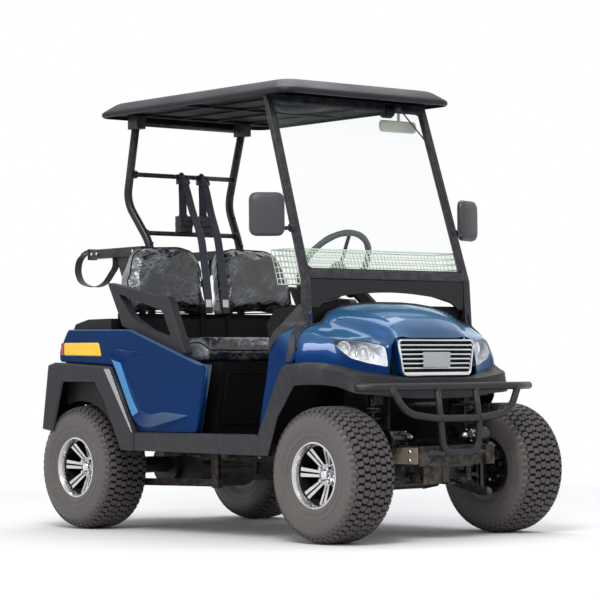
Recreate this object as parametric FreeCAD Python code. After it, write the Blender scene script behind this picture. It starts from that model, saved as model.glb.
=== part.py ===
import FreeCAD, Part
import math
import os

V = FreeCAD.Vector

# Driving dimensions, in millimetres and degrees.
# X runs forward from the rear axle, Y to the cart's left, Z up from the ground.
wheelbase = 1650.0
track = 974.0
body_half_width = 616.0
overall_height = 1948.0
rear_reach = 480.0
floor_top = 400.0
floor_thickness = 12.0
running_gap = 0.3
shaft_clearance = 0.1
panel_wall = 5.0
round_sides = 12
wheel_sides = 48
bend_chords = 2

# Wheels: outline points are (distance out from the wheel's centre plane, radius)
tyre_radius = 279.0
tyre_half_width = 117.0
tyre_bulge_radius = 196.0
tyre_shoulder = (98.0, 264.0)
tyre_crown_half = 56.0
tyre_bead_half = 88.0
rim_seat_radius = 127.0
rim_flange_radius = 137.0
rim_half_width = 105.0
rim_seat_half = 97.0
rim_inner_radius = 119.0
rim_mouth_depth = 18.0
rim_mouth_radius = 131.0
spoke_count = 6
spoke_window = (17.0, 12.0)
spoke_root_out = 64.0
spoke_thickness = 16.0
hub_radius = 44.0
hub_face_out = 36.0
hub_back = 4.0
stub_radius = 15.0
stub_depth = 22.0

# Brake drums, knuckles and front arms
drum_radius = 88.0
drum_width = 48.0
drum_sides = 24
drum_gap = 5.0
kingpin_y = 365.0
kingpin_low = 200.0
kingpin_high = 358.0
kingpin_radius = 22.0
pin_radius = 9.0
pin_length = 38.0
spindle_radius = 30.0
steer_arm_length = 110.0
steer_arm_inset = 13.0
steer_arm_z = 252.0
steer_arm_half = 7.0
steer_eye_radius = 12.0
rack_drop = 30.0
rack_radius = 10.0
rack_tube_radius = 24.0
rack_tube_half = 130.0
lower_arm_y = 150.0
upper_arm_y = 242.0
upper_arm_spread = 80.0
lower_arm_z = 262.0
lower_arm_drop = 28.0
arm_tube_radius = 12.0
arm_bush_radius = 18.0
shock_foot_y = 282.0
shock_head_y = 262.0
shock_head_z = 590.0
shock_radius = 30.0
shock_rod_radius = 9.0

# Rear suspension and drive
link_y = 330.0
link_front_x = 700.0
link_front_z = 216.0
link_half_height = 16.0
link_thickness = 12.0
axle_tube_radius = 38.0
axle_case_radius = 96.0
axle_case_y = (-80.0, 95.0)
motor_x = 190.0
motor_z = 262.0
motor_radius = 86.0
motor_y = (20.0, 250.0)
rear_shock_head = (-70.0, 268.0, 640.0)
rear_shock_foot_x = -30.0

# Frame
rail_y = 190.0
rail_width = 50.0
rail_height = 80.0
rail_kick = 52.0
rail_kick_x = 250.0
rail_ramp = 150.0
rail_front_reach = 225.0
cross_member_x = (480.0, 930.0, 1320.0)
outrigger_x = (560.0, 1000.0)
member_width = 50.0
plate = 6.0

# Body sides: outlines are (X, Z) seen from the cart's side
side_panel_y = 590.0
panel_return = 34.0
sill_top = 440.0
sill_bottom = 362.0
rear_flare_outline = [(-232.0, 452.0), (-182.0, 745.0), (-128.0, 757.0), (284.0, 735.0), (467.0, sill_top),
                      (467.0, sill_bottom), (372.0, sill_bottom)]
rear_arch = [(-300.0, 300.0), (-146.0, 440.0), (-67.0, 668.0), (178.0, 666.0), (247.0, 584.0),
             (372.0, sill_bottom), (300.0, 200.0)]
strip_outline = [(256.0, 724.0), (299.0, 724.0), (466.0, 443.0), (458.0, 443.0)]
side_outline = [(-56.0, 906.0), (405.0, 896.0), (898.0, 738.0), (954.0, 735.0), (884.0, 441.0), (474.0, 441.0),
                (290.0, 738.0), (-122.0, 760.0), (-122.0, 812.0)]
ridge_outline = [(284.0, 792.0), (312.0, 806.0), (405.0, 802.0), (542.0, 790.0), (451.0, 783.0), (372.0, 754.0),
                 (493.0, 538.0), (673.0, 530.0), (836.0, 517.0), (743.0, 490.0), (465.0, 499.0), (447.0, 528.0),
                 (316.0, 749.0)]
ridge_height = 6.0
marker_outline = [(-100.0, 846.0), (186.0, 842.0), (205.0, 781.0), (-100.0, 788.0)]
marker_height = 6.0
# Front mouldings: stations of (inner top, outer top, lower edge) points
flare_stations = [
    ((1319.3, 576.0, 436.0), (1319.3, 610.0, 436.0), (1382.3, 610.0, 354.0)),
    ((1393.0, 576.0, 572.0), (1393.0, 610.0, 572.0), (1447.0, 609.0, 513.0)),
    ((1467.0, 576.0, 709.0), (1467.0, 610.0, 709.0), (1496.0, 602.0, 584.0)),
    ((1500.0, 576.0, 735.0), (1490.0, 608.0, 725.0), (1508.0, 588.0, 622.0)),
    ((1543.0, 542.0, 738.0), (1526.0, 569.0, 725.0), (1516.0, 580.0, 643.0)),
]
bumper_stations = [
    ((1543.3, 542.0, 738.0), (1526.3, 569.0, 725.0), (1516.3, 580.0, 643.0)),
    ((1581.0, 509.0, 736.0), (1556.0, 540.0, 721.0), (1540.0, 556.0, 645.0)),
    ((1620.0, 475.0, 731.0), (1600.0, 506.0, 714.0), (1600.0, 508.0, 645.0)),
    ((1649.0, 446.0, 725.0), (1643.0, 485.0, 705.0), (1660.0, 475.0, 637.0)),
    ((1668.0, 399.0, 711.0), (1719.0, 443.0, 690.0), (1737.0, 441.0, 610.0)),
    ((1690.0, 345.0, 699.0), (1757.0, 330.0, 676.0), (1760.0, 330.0, 600.0)),
    ((1732.0, 262.0, 686.0), (1772.0, 245.0, 666.0), (1770.0, 245.0, 591.0)),
    ((1757.0, 196.0, 674.0), (1779.0, 150.0, 664.0), (1776.0, 150.0, 585.0)),
    ((1758.0, 0.0, 672.0), (1783.0, 0.0, 667.0), (1780.0, 0.0, 583.0)),
]
moulding_ledge = 14.0

# Cowl: how far out the body side stands at each height, then rows of (Z, rear edge X, front edge X)
side_levels = [
    (442.0, [(1300.0, 590.0), (1560.0, 590.0)]),
    (709.0, [(1300.0, 590.0), (1560.0, 590.0)]),
    (737.0, [(1300.0, 590.0), (1470.0, 590.0), (1500.0, 583.0), (1527.0, 564.0), (1581.0, 515.0)]),
    (790.0, [(1300.0, 590.0), (1440.0, 590.0), (1470.0, 580.0), (1500.0, 559.0), (1530.0, 532.0)]),
    (848.0, [(1300.0, 590.0), (1390.0, 588.0), (1440.0, 568.0), (1490.0, 530.0), (1520.0, 505.0)]),
    (897.0, [(1300.0, 572.0), (1370.0, 560.0), (1424.0, 526.0), (1500.0, 460.0)]),
    (950.0, [(1300.0, 523.0), (1400.0, 515.0), (1442.0, 496.0), (1500.0, 446.0)]),
    (1000.0, [(1300.0, 483.0), (1400.0, 480.0), (1442.0, 470.0), (1500.0, 430.0)]),
]
cowl_rows = [(442.0, 1302.0, 1321.5), (477.0, 1308.0, 1341.0), (588.0, 1332.0, 1400.5), (692.0, 1358.0, 1456.8),
             (709.0, 1361.0, 1466.0), (735.0, 1366.0, 1499.0), (738.5, 1366.5, 1505.0), (790.0, 1375.0, 1508.0),
             (848.0, 1386.0, 1493.0), (897.0, 1400.0, 1491.0), (950.0, 1429.0, 1491.0)]
cowl_columns = (0.0, 0.4, 0.65, 0.85, 1.0)
trim_rear_rows = [(788.0, 1376.0, 1388.0), (827.0, 1382.0, 1410.0), (863.0, 1391.0, 1435.0),
                  (897.0, 1401.0, 1454.0), (931.0, 1419.0, 1458.0), (978.0, 1444.0, 1470.0)]
trim_front_rows = [(739.0, 1479.0, 1500.0), (790.0, 1481.0, 1503.0), (848.0, 1466.0, 1485.0),
                   (878.0, 1459.0, 1480.0), (897.0, 1453.0, 1481.0), (937.0, 1457.0, 1483.0)]
trim_height = 6.0

# Hood: stations of (X, points) with (Y, Z) points from the crown out to the side
hood_stations = [
    (1440.0, [(0.0, 992.0), (170.0, 986.0), (335.0, 960.0), (430.0, 922.0), (505.0, 897.0), (562.0, 850.0),
              (590.0, 735.0)]),
    (1520.0, [(0.0, 973.0), (160.0, 966.0), (305.0, 937.0), (385.0, 896.0), (440.0, 880.0), (500.0, 850.0),
              (560.0, 738.0)]),
    (1563.0, [(0.0, 962.0), (150.0, 954.0), (278.0, 925.0), (348.0, 880.0), (404.0, 862.0), (466.0, 843.0),
              (524.0, 737.0)]),
    (1606.0, [(0.0, 946.0), (140.0, 938.0), (252.0, 911.0), (312.0, 866.0), (375.0, 848.0), (434.0, 834.0),
              (487.0, 733.0)]),
    (1651.0, [(0.0, 923.0), (130.0, 916.0), (230.0, 890.0), (272.0, 848.0), (340.0, 828.0), (402.0, 800.0),
              (446.0, 725.0)]),
    (1668.0, [(0.0, 913.0), (125.0, 906.0), (222.0, 882.0), (261.0, 840.0), (325.0, 812.0), (380.0, 780.0),
              (404.0, 712.0)]),
    (1706.0, [(0.0, 880.0), (120.0, 876.0), (208.0, 858.0), (243.0, 820.0), (280.0, 795.0), (306.0, 760.0),
              (315.0, 694.0)]),
    (1740.0, [(0.0, 836.0), (118.0, 835.0), (214.0, 831.0), (234.0, 809.0), (240.0, 770.0), (250.0, 722.0),
              (252.0, 684.0)]),
]
hood_low = 600.0
hood_rear_plan = [(1507.0, 620.0), (1509.0, 552.0), (1494.0, 523.0), (1494.0, 456.0), (1500.0, 432.0),
                  (1470.0, 340.0), (1462.0, 0.0)]
lamp_outline = [(252.0, 714.0), (252.0, 804.0), (300.0, 820.0), (400.0, 832.0), (446.0, 830.0), (444.0, 806.0),
                (428.0, 779.0), (398.0, 752.0), (330.0, 731.0)]
lamp_depth = 40.0
grille_half_top = 221.7
grille_half_bottom = 195.7
grille_top = 828.7
grille_bottom = 676.3
grille_face_x = 1758.0
grille_depth = 24.0
grille_border = 9.0
grille_bars = 5
grille_bar_height = 9.0
badge_half_width = 76.0
badge_low = 712.0
badge_high = 776.0

# Seats
seat_half_width = 500.0
seat_rear_x = 325.0
seat_front_x = 849.0
seat_low = 748.0
seat_high = 846.0
seat_side_profile = [(325.0, 748.0), (325.0, 838.0), (340.0, 846.0), (769.0, 846.0), (829.0, 820.0),
                     (849.0, 786.0), (843.0, 748.0)]
seat_box_rear_x = 305.0
seat_box_front_top_x = 930.0
seat_box_front_low_x = 872.0
seat_box_wall = 6.0
lid_axis_x = 856.0
lid_axis_z = 755.0
lid_hinge_y = 300.0
lid_hinge_length = 46.0
lid_pin_radius = 5.0
back_low = 950.0
back_high = 1312.0
back_foot_x = 296.0
back_lean = 70.0
back_thickness = 92.0
back_top_share = 0.55
back_outline = [(18.0, 950.0), (500.0, 960.0), (508.0, 1120.0), (460.0, 1252.0), (390.0, 1304.0),
                (138.0, 1312.0), (48.0, 1272.0), (18.0, 1192.0)]
plinth_rear_x = 232.0
battery_top = 680.0
battery_half_width = 330.0
battery_front_x = 815.0
arm_outer = [(204.0, 1113.0), (557.0, 1043.0), (646.0, 1037.0), (772.0, 781.0), (740.0, 781.0), (311.0, 914.0),
             (296.0, 950.0)]
arm_inner = [(282.0, 1060.0), (440.0, 1018.0), (606.0, 975.0), (672.0, 853.0), (513.0, 891.0), (388.0, 950.0)]
arm_rest_y = 512.0
buckle_y = (-92.0, 62.0, -440.0, 440.0)

# Rear deck, roof posts and bag holder
deck_outline = [(-56.0, 906.0), (-40.0, 930.0), (60.0, 949.7), (231.7, 949.7), (231.7, 460.0), (-100.0, 460.0),
                (-122.0, 760.0), (-122.0, 812.0)]
well_depth = 120.0
well_wall = 8.0
rear_post_x = 150.0
rear_post_y = 265.0
post_radius = 19.0
post_bend = 90.0
post_knee = (17.0, 301.0, 1499.0)
post_knee_low = 1290.0
post_head = (108.0, 314.0)
belt_bar_x = 68.0
belt_bar_y = 293.0
belt_bar_z = 1622.0
belt_bar_radius = 11.0
low_bar_x = 112.0
low_bar_z = 1350.0
belts = [(-37.0, -50.0, -68.0), (82.0, 48.0, 32.0)]
belt_width = 46.0
belt_thickness = 3.0
retractor_high = 74.0
holder_y = 286.0
holder_low = 1244.0
holder_high = 1288.0
holder_rear_x = -280.0
holder_half = 22.0
gusset_outline = [(-89.0, 1244.0), (40.0, 1244.0), (-2.0, 1180.0), (-29.0, 1118.0)]
strap_outline = [(-271.0, 1293.0), (-330.0, 1277.0), (-388.0, 1240.0), (-399.0, 1190.0), (-379.0, 1146.0),
                 (-300.0, 1114.0), (-242.0, 1110.0), (-178.0, 1126.0), (-130.0, 1164.0), (-92.0, 1204.0),
                 (-92.0, 1293.0)]
strap_thickness = 4.0
strap_width = 40.0

# Roof and screen
roof_half_width = 486.0
roof_rear_x = 52.0
roof_front_x = 1372.0
roof_edge_low = 1870.0
roof_recess = 14.0
roof_corner = 56.0
corner_chords = 4
roof_levels = [(0.0, 4.0), (14.0, 0.0), (34.0, 4.0), (44.0, 20.0), (58.0, 60.0), (72.0, 140.0), (78.0, 220.0)]
screen_top_x = 1224.0
screen_base_x = 1476.0
screen_base_z = 1086.0
screen_half_top = 464.0
screen_half_base = 481.0
screen_rail = 40.0
post_width = 38.0
post_depth = 26.0
leg_low = 842.0
leg_foot_reach = 14.0
glass_thickness = 5.0
fairing_outline = [(443.0, 962.0), (443.0, 1086.0), (-443.0, 1086.0), (-443.0, 962.0), (-409.0, 962.0),
                   (-373.0, 990.0), (-253.0, 1018.0), (0.0, 1034.0), (253.0, 1018.0), (373.0, 990.0),
                   (409.0, 962.0)]
fairing_thickness = 10.0
wiper_pivot = (1262.0, 262.0, 1857.0)
wiper_knee = (430.0, 1680.0)
wiper_tip = (450.0, 1290.0)

# Cabin front, steering wheel and mirrors
dash_half = 462.0
dash_outline = [(1230.0, 820.3), (1208.0, 900.0), (1262.0, 962.0), (1400.0, 978.0), (1449.7, 978.0),
                (1449.7, 820.3)]
board_top = 820.0
board_knee = 640.0
pedal_y = (90.0, 175.0)
pedal_widths = (60.0, 80.0)
basket_top = 1214.0
basket_low = 1064.0
basket_reach = 150.0
basket_half = 476.0
steering_x = 888.0
steering_y = 205.0
steering_z = 1172.0
column_angle = 37.0
column_length = 520.0
column_radius = 30.0
column_pin_radius = 12.0
grip_ring_radius = 184.0
grip_radius = 14.0
grip_chords = 30
wheel_hub_radius = 42.0
wheel_hub_drop = 46.0
mirror_reach = 680.0
mirror_half = (17.0, 75.0, 91.0)
mirror_corner = 28.0
mirror_poses = [(-1.0, 1392.0, 1352.0, 30.0), (1.0, 1344.0, 1366.0, 17.0)]
mirror_arm_z = 1300.0
mirror_arm_radius = 9.0

# Brush guard
guard_reach = 246.0
guard_radius = 16.0
guard_bar_z = 632.0
guard_bar_half = 500.0
guard_bar_x = 1806.0
guard_knee_y = 366.0
guard_knee_x = 1872.0
guard_mid_y = 110.0
guard_mid_z = 501.0
guard_foot_z = 362.0
guard_side_knee = (1888.0, 300.0, 524.0)
tail_lamp_y = 480.0
tail_lamp_half = 45.0
tail_lamp_z = (770.0, 840.0)

front = wheelbase
wheel_y = track / 2
tyre_bead_radius = rim_seat_radius + running_gap
drum_face = wheel_y + hub_back - drum_gap
floor_low = floor_top - floor_thickness
rail_low = floor_low - rail_height
deck_rail_top = floor_low + rail_kick
rail_inner = rail_y - rail_width / 2
rail_outer = rail_y + rail_width / 2
frame_rear_x = member_width - rear_reach - 2 * arm_bush_radius + plate
guard_front_x = front + guard_reach
front_end = guard_front_x + guard_radius
origin_x = (front_end - rear_reach) / 2
well_front_x = front - 355.0
toe_half = 222.0
inner_limit_y = wheel_y - tyre_half_width - 22.0
roof_under = roof_edge_low + roof_recess
steer_eye_y = kingpin_y - steer_arm_inset
rack_x = front - steer_arm_length
rack_z = steer_arm_z - rack_drop
parts = {}


# Shape helpers
def polygon_face(points):
    return Part.Face(Part.makePolygon(points + [points[0]]))


def block(x_low, x_high, y_low, y_high, z_low, z_high):
    return Part.makeBox(x_high - x_low, y_high - y_low, z_high - z_low, V(x_low, y_low, z_low))


def prism_xz(outline, y_low, y_high):
    return polygon_face([V(x, y_low, z) for x, z in outline]).extrude(V(0, y_high - y_low, 0))


def prism_xy(outline, z_low, z_high):
    return polygon_face([V(x, y, z_low) for x, y in outline]).extrude(V(0, 0, z_high - z_low))


def prism_yz(outline, x_low, x_high):
    return polygon_face([V(x_low, y, z) for y, z in outline]).extrude(V(x_high - x_low, 0, 0))


def mirrored(shape):
    return shape.mirror(V(0, 0, 0), V(0, 1, 0))


def both_sides(shape):
    return Part.makeCompound([shape, mirrored(shape)])


def on_side(shape, side):
    return shape if side > 0 else mirrored(shape)


def rod(start, end, radius):
    return Part.makeCylinder(radius, (end - start).Length, start, end - start)


def fused(*shapes):
    body = shapes[0].multiFuse(list(shapes[1:]))
    return body.removeSplitter()


def largest(shape):
    return max(shape.Solids, key=lambda solid: solid.Volume)


def offset_prism_xz(outline, inset, y_low, y_high):
    face = polygon_face([V(x, y_low, z) for x, z in outline])
    return face.makeOffset2D(-inset).extrude(V(0, y_high - y_low, 0))


def closed_solid(faces):
    shell = Part.Shell(faces)
    shell.sewShape()
    solid = Part.Solid(shell)
    if solid.Volume < 0:
        solid.reverse()
    return solid


def facet(a, b, c, d):
    """Flat face on four corners, or two triangles when they don't lie in one plane."""
    normal = (b - a).cross(c - a)
    if normal.Length < 1e-9 or abs((d - a).dot(normal.normalize())) < 1e-7:
        return [polygon_face([a, b, c, d])]
    return [polygon_face([a, b, c]), polygon_face([a, c, d])]


def cap(section):
    """End of a stack; one that isn't flat is closed from its first and last points inwards."""
    normal = V(0, 0, 0)
    for here, after in zip(section, section[1:]):
        normal += (here - section[0]).cross(after - section[0])
    normal.normalize()
    if all(abs((point - section[0]).dot(normal)) < 1e-7 for point in section):
        return [polygon_face(section)]
    faces = []
    for index in range(len(section) // 2 - 1):
        faces += facet(section[index], section[index + 1], section[-2 - index], section[-1 - index])
    return faces


def stacked(sections):
    """Solid through closed sections with the same number of points, in flat facets."""
    faces = cap(sections[0]) + cap(sections[-1])
    for low, high in zip(sections, sections[1:]):
        for index in range(len(low)):
            after = (index + 1) % len(low)
            faces += facet(low[index], low[after], high[after], high[index])
    return closed_solid(faces)


def bend_path(points, bend):
    """Centre line with each corner rounded by short chords."""
    path = [points[0]]
    for before, corner, after in zip(points, points[1:], points[2:]):
        back = (before - corner).normalize()
        ahead = (after - corner).normalize()
        half = back.getAngle(ahead) / 2
        start = corner + back * (bend / math.tan(half))
        centre = corner + (back + ahead).normalize() * (bend / math.sin(half))
        axis = ahead.cross(back)
        for chord in range(bend_chords + 1):
            turn = FreeCAD.Rotation(axis, (180 - math.degrees(2 * half)) * chord / bend_chords)
            path.append(centre + turn.multVec(start - centre))
    path.append(points[-1])
    return path


def tube(points, radius, bend=0.0, sides=round_sides):
    """Bar along a bent centre line, its round section in flat facets with mitred corners."""
    path = bend_path(points, bend) if bend else points
    heading = (path[1] - path[0]).normalize()
    across = heading.cross(V(0, 0, 1))
    if across.Length < 0.01:
        across = V(0, 1, 0)
    across = across.normalize() * radius
    ring = [path[0] + FreeCAD.Rotation(heading, 360.0 * side / sides).multVec(across) for side in range(sides)]
    rings = [ring]
    for index in range(1, len(path)):
        here = path[index]
        run = (here - path[index - 1]).normalize()
        onward = (path[index + 1] - here).normalize() if index < len(path) - 1 else run
        cut = (run + onward).normalize()
        ring = [point + run * ((here - point).dot(cut) / run.dot(cut)) for point in ring]
        rings.append(ring)
    return stacked(rings)


def grip_ring(ring_radius, radius, chords, sides):
    rings = []
    for chord in range(chords):
        around = math.radians(360.0 * chord / chords)
        ring = []
        for side in range(sides):
            angle = math.radians(360.0 * side / sides)
            reach = ring_radius + radius * math.cos(angle)
            ring.append(V(reach * math.cos(around), reach * math.sin(around), radius * math.sin(angle)))
        rings.append(ring)
    faces = []
    for index, ring in enumerate(rings):
        after = rings[(index + 1) % chords]
        for side in range(sides):
            along = (side + 1) % sides
            faces.append(polygon_face([ring[side], ring[along], after[along], after[side]]))
    return closed_solid(faces)


def turned(outline):
    """Solid about the wheel axis in flat facets, one level at the foot; the outline holds (out, radius) pairs."""
    half_step = math.pi / wheel_sides
    rings = []
    for index in range(wheel_sides):
        angle = (2 * index + 1) * half_step
        reach = V(math.cos(angle), 0, math.sin(angle)) / math.cos(half_step)
        rings.append([V(0, out, 0) + reach * radius for out, radius in outline])
    faces = []
    for ring, after in zip(rings, rings[1:] + rings[:1]):
        for index in range(len(outline)):
            along = (index + 1) % len(outline)
            corners = [ring[index], ring[along]]
            if outline[along][1]:
                corners.append(after[along])
            if outline[index][1]:
                corners.append(after[index])
            if len(corners) > 2:
                faces.append(polygon_face(corners))
    return closed_solid(faces)


def shell_from_side(outline, y_in, y_out, wall):
    """Side panel with a skin and a rim turned inwards, open towards the cart's middle."""
    inner = offset_prism_xz(outline, wall, y_in, y_out - wall)
    return prism_xz(outline, y_in, y_out).cut(inner)


def rounded_plan(x_low, x_high, half, corner, z):
    points = []
    centres = [(x_high - corner, half - corner), (x_low + corner, half - corner),
               (x_low + corner, corner - half), (x_high - corner, corner - half)]
    for quarter, (x, y) in enumerate(centres):
        for chord in range(corner_chords + 1):
            angle = math.radians(90.0 * quarter + 90.0 * chord / corner_chords)
            points.append(V(x + corner * math.cos(angle), y + corner * math.sin(angle), z))
    return points


# Wheels and tyres
def tyre():
    half = [(tyre_bead_half, tyre_bead_radius), (tyre_half_width, tyre_bulge_radius), tyre_shoulder,
            (tyre_crown_half, tyre_radius)]
    return turned(half + [(-out, radius) for out, radius in reversed(half)])


def rim():
    barrel = turned([
        (-rim_half_width, rim_flange_radius), (-rim_seat_half, rim_seat_radius), (rim_seat_half, rim_seat_radius),
        (rim_half_width, rim_flange_radius), (rim_half_width, rim_mouth_radius),
        (rim_half_width - rim_mouth_depth, rim_inner_radius), (-rim_half_width, rim_inner_radius),
    ])
    root = rim_inner_radius + (rim_seat_radius - rim_inner_radius) / 2
    disc = turned([
        (hub_back, 0), (hub_face_out, 0), (hub_face_out, hub_radius), (spoke_root_out, root),
        (spoke_root_out - spoke_thickness, root), (hub_back, hub_radius + spoke_thickness),
    ])
    for index in range(spoke_count):
        disc = disc.cut(spoke_gap(360.0 * index / spoke_count))
    bore = Part.makeCylinder(stub_radius + shaft_clearance, stub_depth, V(0, hub_back, 0), V(0, 1, 0))
    return fused(barrel, disc).cut(bore)


def spoke_gap(middle):
    """Opening between spokes, through the wheel along its axis."""
    outer_half, inner_half = spoke_window
    outer = rim_inner_radius - panel_wall
    inner = hub_radius + spoke_thickness
    corners = []
    for radius, half in ((inner, -inner_half), (outer, -outer_half), (outer, outer_half), (inner, inner_half)):
        angle = math.radians(middle + half)
        corners.append(V(radius * math.cos(angle), 0, radius * math.sin(angle)))
    return polygon_face(corners).extrude(V(0, rim_half_width, 0))


def place_wheels():
    shapes = (("tyre", tyre()), ("rim", rim()))
    for name, x, side in (("front_right", front, -1), ("front_left", front, 1),
                          ("rear_right", 0, -1), ("rear_left", 0, 1)):
        for kind, shape in shapes:
            own = on_side(shape.copy(), side)
            parts[kind + "_" + name] = own.translated(V(x, side * wheel_y, tyre_radius))


# Chassis frame, floor and running gear
def frame_rails():
    outline = [
        (frame_rear_x, deck_rail_top - rail_height), (frame_rear_x, deck_rail_top), (rail_kick_x, deck_rail_top),
        (rail_kick_x + rail_ramp, floor_low), (front + rail_front_reach, floor_low),
        (front + rail_front_reach, rail_low), (rail_kick_x + rail_ramp + 20, rail_low),
        (rail_kick_x + 20, deck_rail_top - rail_height),
    ]
    return both_sides(prism_xz(outline, rail_inner, rail_outer))


def cross_members():
    """Boxes between the two rails, outriggers under the floor's edges, and the hangers of the trailing bars."""
    pieces = [cross_member(frame_rear_x, deck_rail_top)]
    for x in cross_member_x:
        pieces.append(cross_member(x, floor_low))
    for side in (1, -1):
        for x in outrigger_x:
            arm = block(x, x + member_width, rail_outer, side_panel_y - panel_return - plate,
                        floor_low - member_width, floor_low)
            pieces.append(on_side(arm, side))
        pieces.append(on_side(link_hanger(), side))
    return Part.makeCompound(pieces)


def cross_member(x, top):
    return block(x, x + member_width, -rail_inner, rail_inner, top - rail_height, top - rail_height + member_width)


def link_hanger():
    """Two ears and a bracket that carry the front eye of a trailing bar."""
    half = arm_bush_radius + 4.0
    inside = link_y - link_thickness / 2 - running_gap - plate
    outside = link_y + link_thickness / 2 + running_gap
    ears = [block(link_front_x - half, link_front_x + half, y, y + plate, link_front_z - half, floor_low)
            for y in (inside, outside)]
    return fused(block(link_front_x - half, link_front_x + half, rail_outer, outside + plate,
                       floor_low - member_width, floor_low), *ears)


def trailing_links():
    eye = V(link_front_x, link_y, link_front_z)
    rear_z = tyre_radius - drum_radius + link_half_height
    bar = prism_xz([(0, rear_z - link_half_height), (eye.x, eye.z - link_half_height),
                    (eye.x, eye.z + link_half_height), (0, rear_z + link_half_height)],
                   link_y - link_thickness / 2, link_y + link_thickness / 2)
    boss = V(0, link_thickness / 2, 0)
    arm = fused(bar, tube([eye - boss, eye + boss], arm_bush_radius))
    return both_sides(arm.cut(axle_pad(running_gap)))


def axle_pad(gap):
    half = member_width
    return block(-half - gap, half + gap, link_y - 20 - gap, link_y + 20 + gap,
                 tyre_radius - drum_radius - gap, tyre_radius - drum_radius / 4)


def rear_axle():
    case_low, case_high = axle_case_y
    housing = [
        tube([V(0, -drum_face + drum_width, tyre_radius), V(0, drum_face - drum_width, tyre_radius)],
             axle_tube_radius),
        tube([V(0, case_low, tyre_radius), V(0, case_high, tyre_radius)], axle_case_radius, sides=drum_sides),
        tube([V(motor_x, -motor_y[0] * 3, motor_z), V(motor_x, motor_y[0], motor_z)], motor_radius - 8,
             sides=drum_sides),
        block(0, motor_x, -motor_y[0] * 3, motor_y[0], tyre_radius - drum_radius, tyre_radius + 60),
    ]
    for side in (1, -1):
        end = fused(brake_drum(), axle_pad(0), stub_shaft())
        housing.append(on_side(end, side))
    return fused(*housing)


def brake_drum():
    return tube([V(0, drum_face - drum_width, tyre_radius), V(0, drum_face, tyre_radius)], drum_radius,
                sides=drum_sides)


def stub_shaft():
    tip = wheel_y + hub_back + stub_depth - 2
    return rod(V(0, drum_face - 1, tyre_radius), V(0, tip, tyre_radius), stub_radius)


def drive_motor():
    low, high = motor_y
    return tube([V(motor_x, low, motor_z), V(motor_x, high, motor_z)], motor_radius, sides=drum_sides)


def shock(low, high, radius):
    run = high - low
    return fused(tube([low, low + run * 0.2], radius * 0.62), tube([low + run * 0.16, low + run * 0.88], radius),
                 tube([low + run * 0.86, high], shock_rod_radius))


def shock_seat_z():
    """Top of the pad on the lower front arm that carries the shock absorber."""
    share = (shock_foot_y - lower_arm_y) / (kingpin_y - lower_arm_y)
    return lower_arm_z + share * (kingpin_low - lower_arm_drop - lower_arm_z) + arm_tube_radius


def shock_absorbers():
    foot = V(front, shock_foot_y, shock_seat_z() + running_gap + 2)
    head = V(front, shock_head_y, shock_head_z)
    front_unit = fused(shock(foot, head, shock_radius),
                       tube([head - V(14 - running_gap, 0, 0), head + V(14 - running_gap, 0, 0)], 14.0))
    rear_foot = V(rear_shock_foot_x, link_y, tyre_radius + axle_tube_radius - 6)
    rear_unit = shock(rear_foot, V(*rear_shock_head), shock_radius)
    rear_unit = rear_unit.cut(tube([V(0, 0, tyre_radius), V(0, drum_face, tyre_radius)],
                                   axle_tube_radius + running_gap))
    return Part.makeCompound([both_sides(front_unit), both_sides(rear_unit)])


def knuckle():
    post = tube([V(0, kingpin_y, kingpin_low), V(0, kingpin_y, kingpin_high)], kingpin_radius)
    spindle = tube([V(0, kingpin_y, tyre_radius), V(0, drum_face - drum_width / 2, tyre_radius)], spindle_radius)
    arm = prism_xy([(-steer_arm_length, steer_eye_y - 9), (0, kingpin_y - 15), (0, kingpin_y + 15),
                    (-steer_arm_length, steer_eye_y + 9)], steer_arm_z - steer_arm_half,
                   steer_arm_z + steer_arm_half)
    eye = tube([V(-steer_arm_length, steer_eye_y, steer_arm_z - steer_arm_half),
                V(-steer_arm_length, steer_eye_y, steer_arm_z + steer_arm_half)], steer_eye_radius)
    body = fused(post, spindle, brake_drum(), stub_shaft(), arm, eye)
    for z in (kingpin_low, kingpin_high - pin_length - 2):
        body = body.cut(Part.makeCylinder(pin_radius + shaft_clearance, pin_length + 2, V(0, kingpin_y, z)))
    return body.translated(V(front, 0, 0))


def front_arms():
    """Lower and upper wishbones of one side, each with the pin that the knuckle turns on."""
    low = V(0, kingpin_y, kingpin_low - running_gap)
    drop = V(0, 0, arm_tube_radius + 2)
    end = low - V(0, 0, lower_arm_drop)
    lower = [tube([end - V(0, 0, plate), low], kingpin_radius), Part.makeCylinder(pin_radius, pin_length, low - V(0, 0, 1))]
    for dx in (-steer_arm_length, steer_arm_length):
        pivot = V(dx, lower_arm_y, lower_arm_z)
        bush = V(upper_arm_spread / 3, 0, 0)
        lower += [tube([end, pivot], arm_tube_radius), tube([pivot - bush, pivot + bush], arm_bush_radius)]
    seat = shock_seat_z()
    lower.append(block(-steer_arm_length / 4, steer_arm_length / 4, shock_foot_y - 20, shock_foot_y + 20,
                       seat - 2 * arm_tube_radius, seat))
    lower.append(tube([V(-steer_arm_length / 2, shock_foot_y, seat - arm_tube_radius),
                       V(steer_arm_length / 2, shock_foot_y, seat - arm_tube_radius)], arm_tube_radius))
    high = V(0, kingpin_y, kingpin_high + running_gap)
    rise = V(0, 0, arm_tube_radius)
    upper = [tube([high, high + rise * 2], kingpin_radius),
             Part.makeCylinder(pin_radius, pin_length, high - V(0, 0, pin_length - 1))]
    for dx in (-upper_arm_spread, upper_arm_spread):
        pivot = V(dx, upper_arm_y, high.z + rise.z)
        bush = V(arm_bush_radius, 0, 0)
        upper += [tube([high + rise, pivot], arm_tube_radius - 2), tube([pivot - bush, pivot + bush], 15.0)]
    return both_sides(Part.makeCompound([fused(*lower), fused(*upper)]).translated(V(front, 0, 0)))


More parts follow.
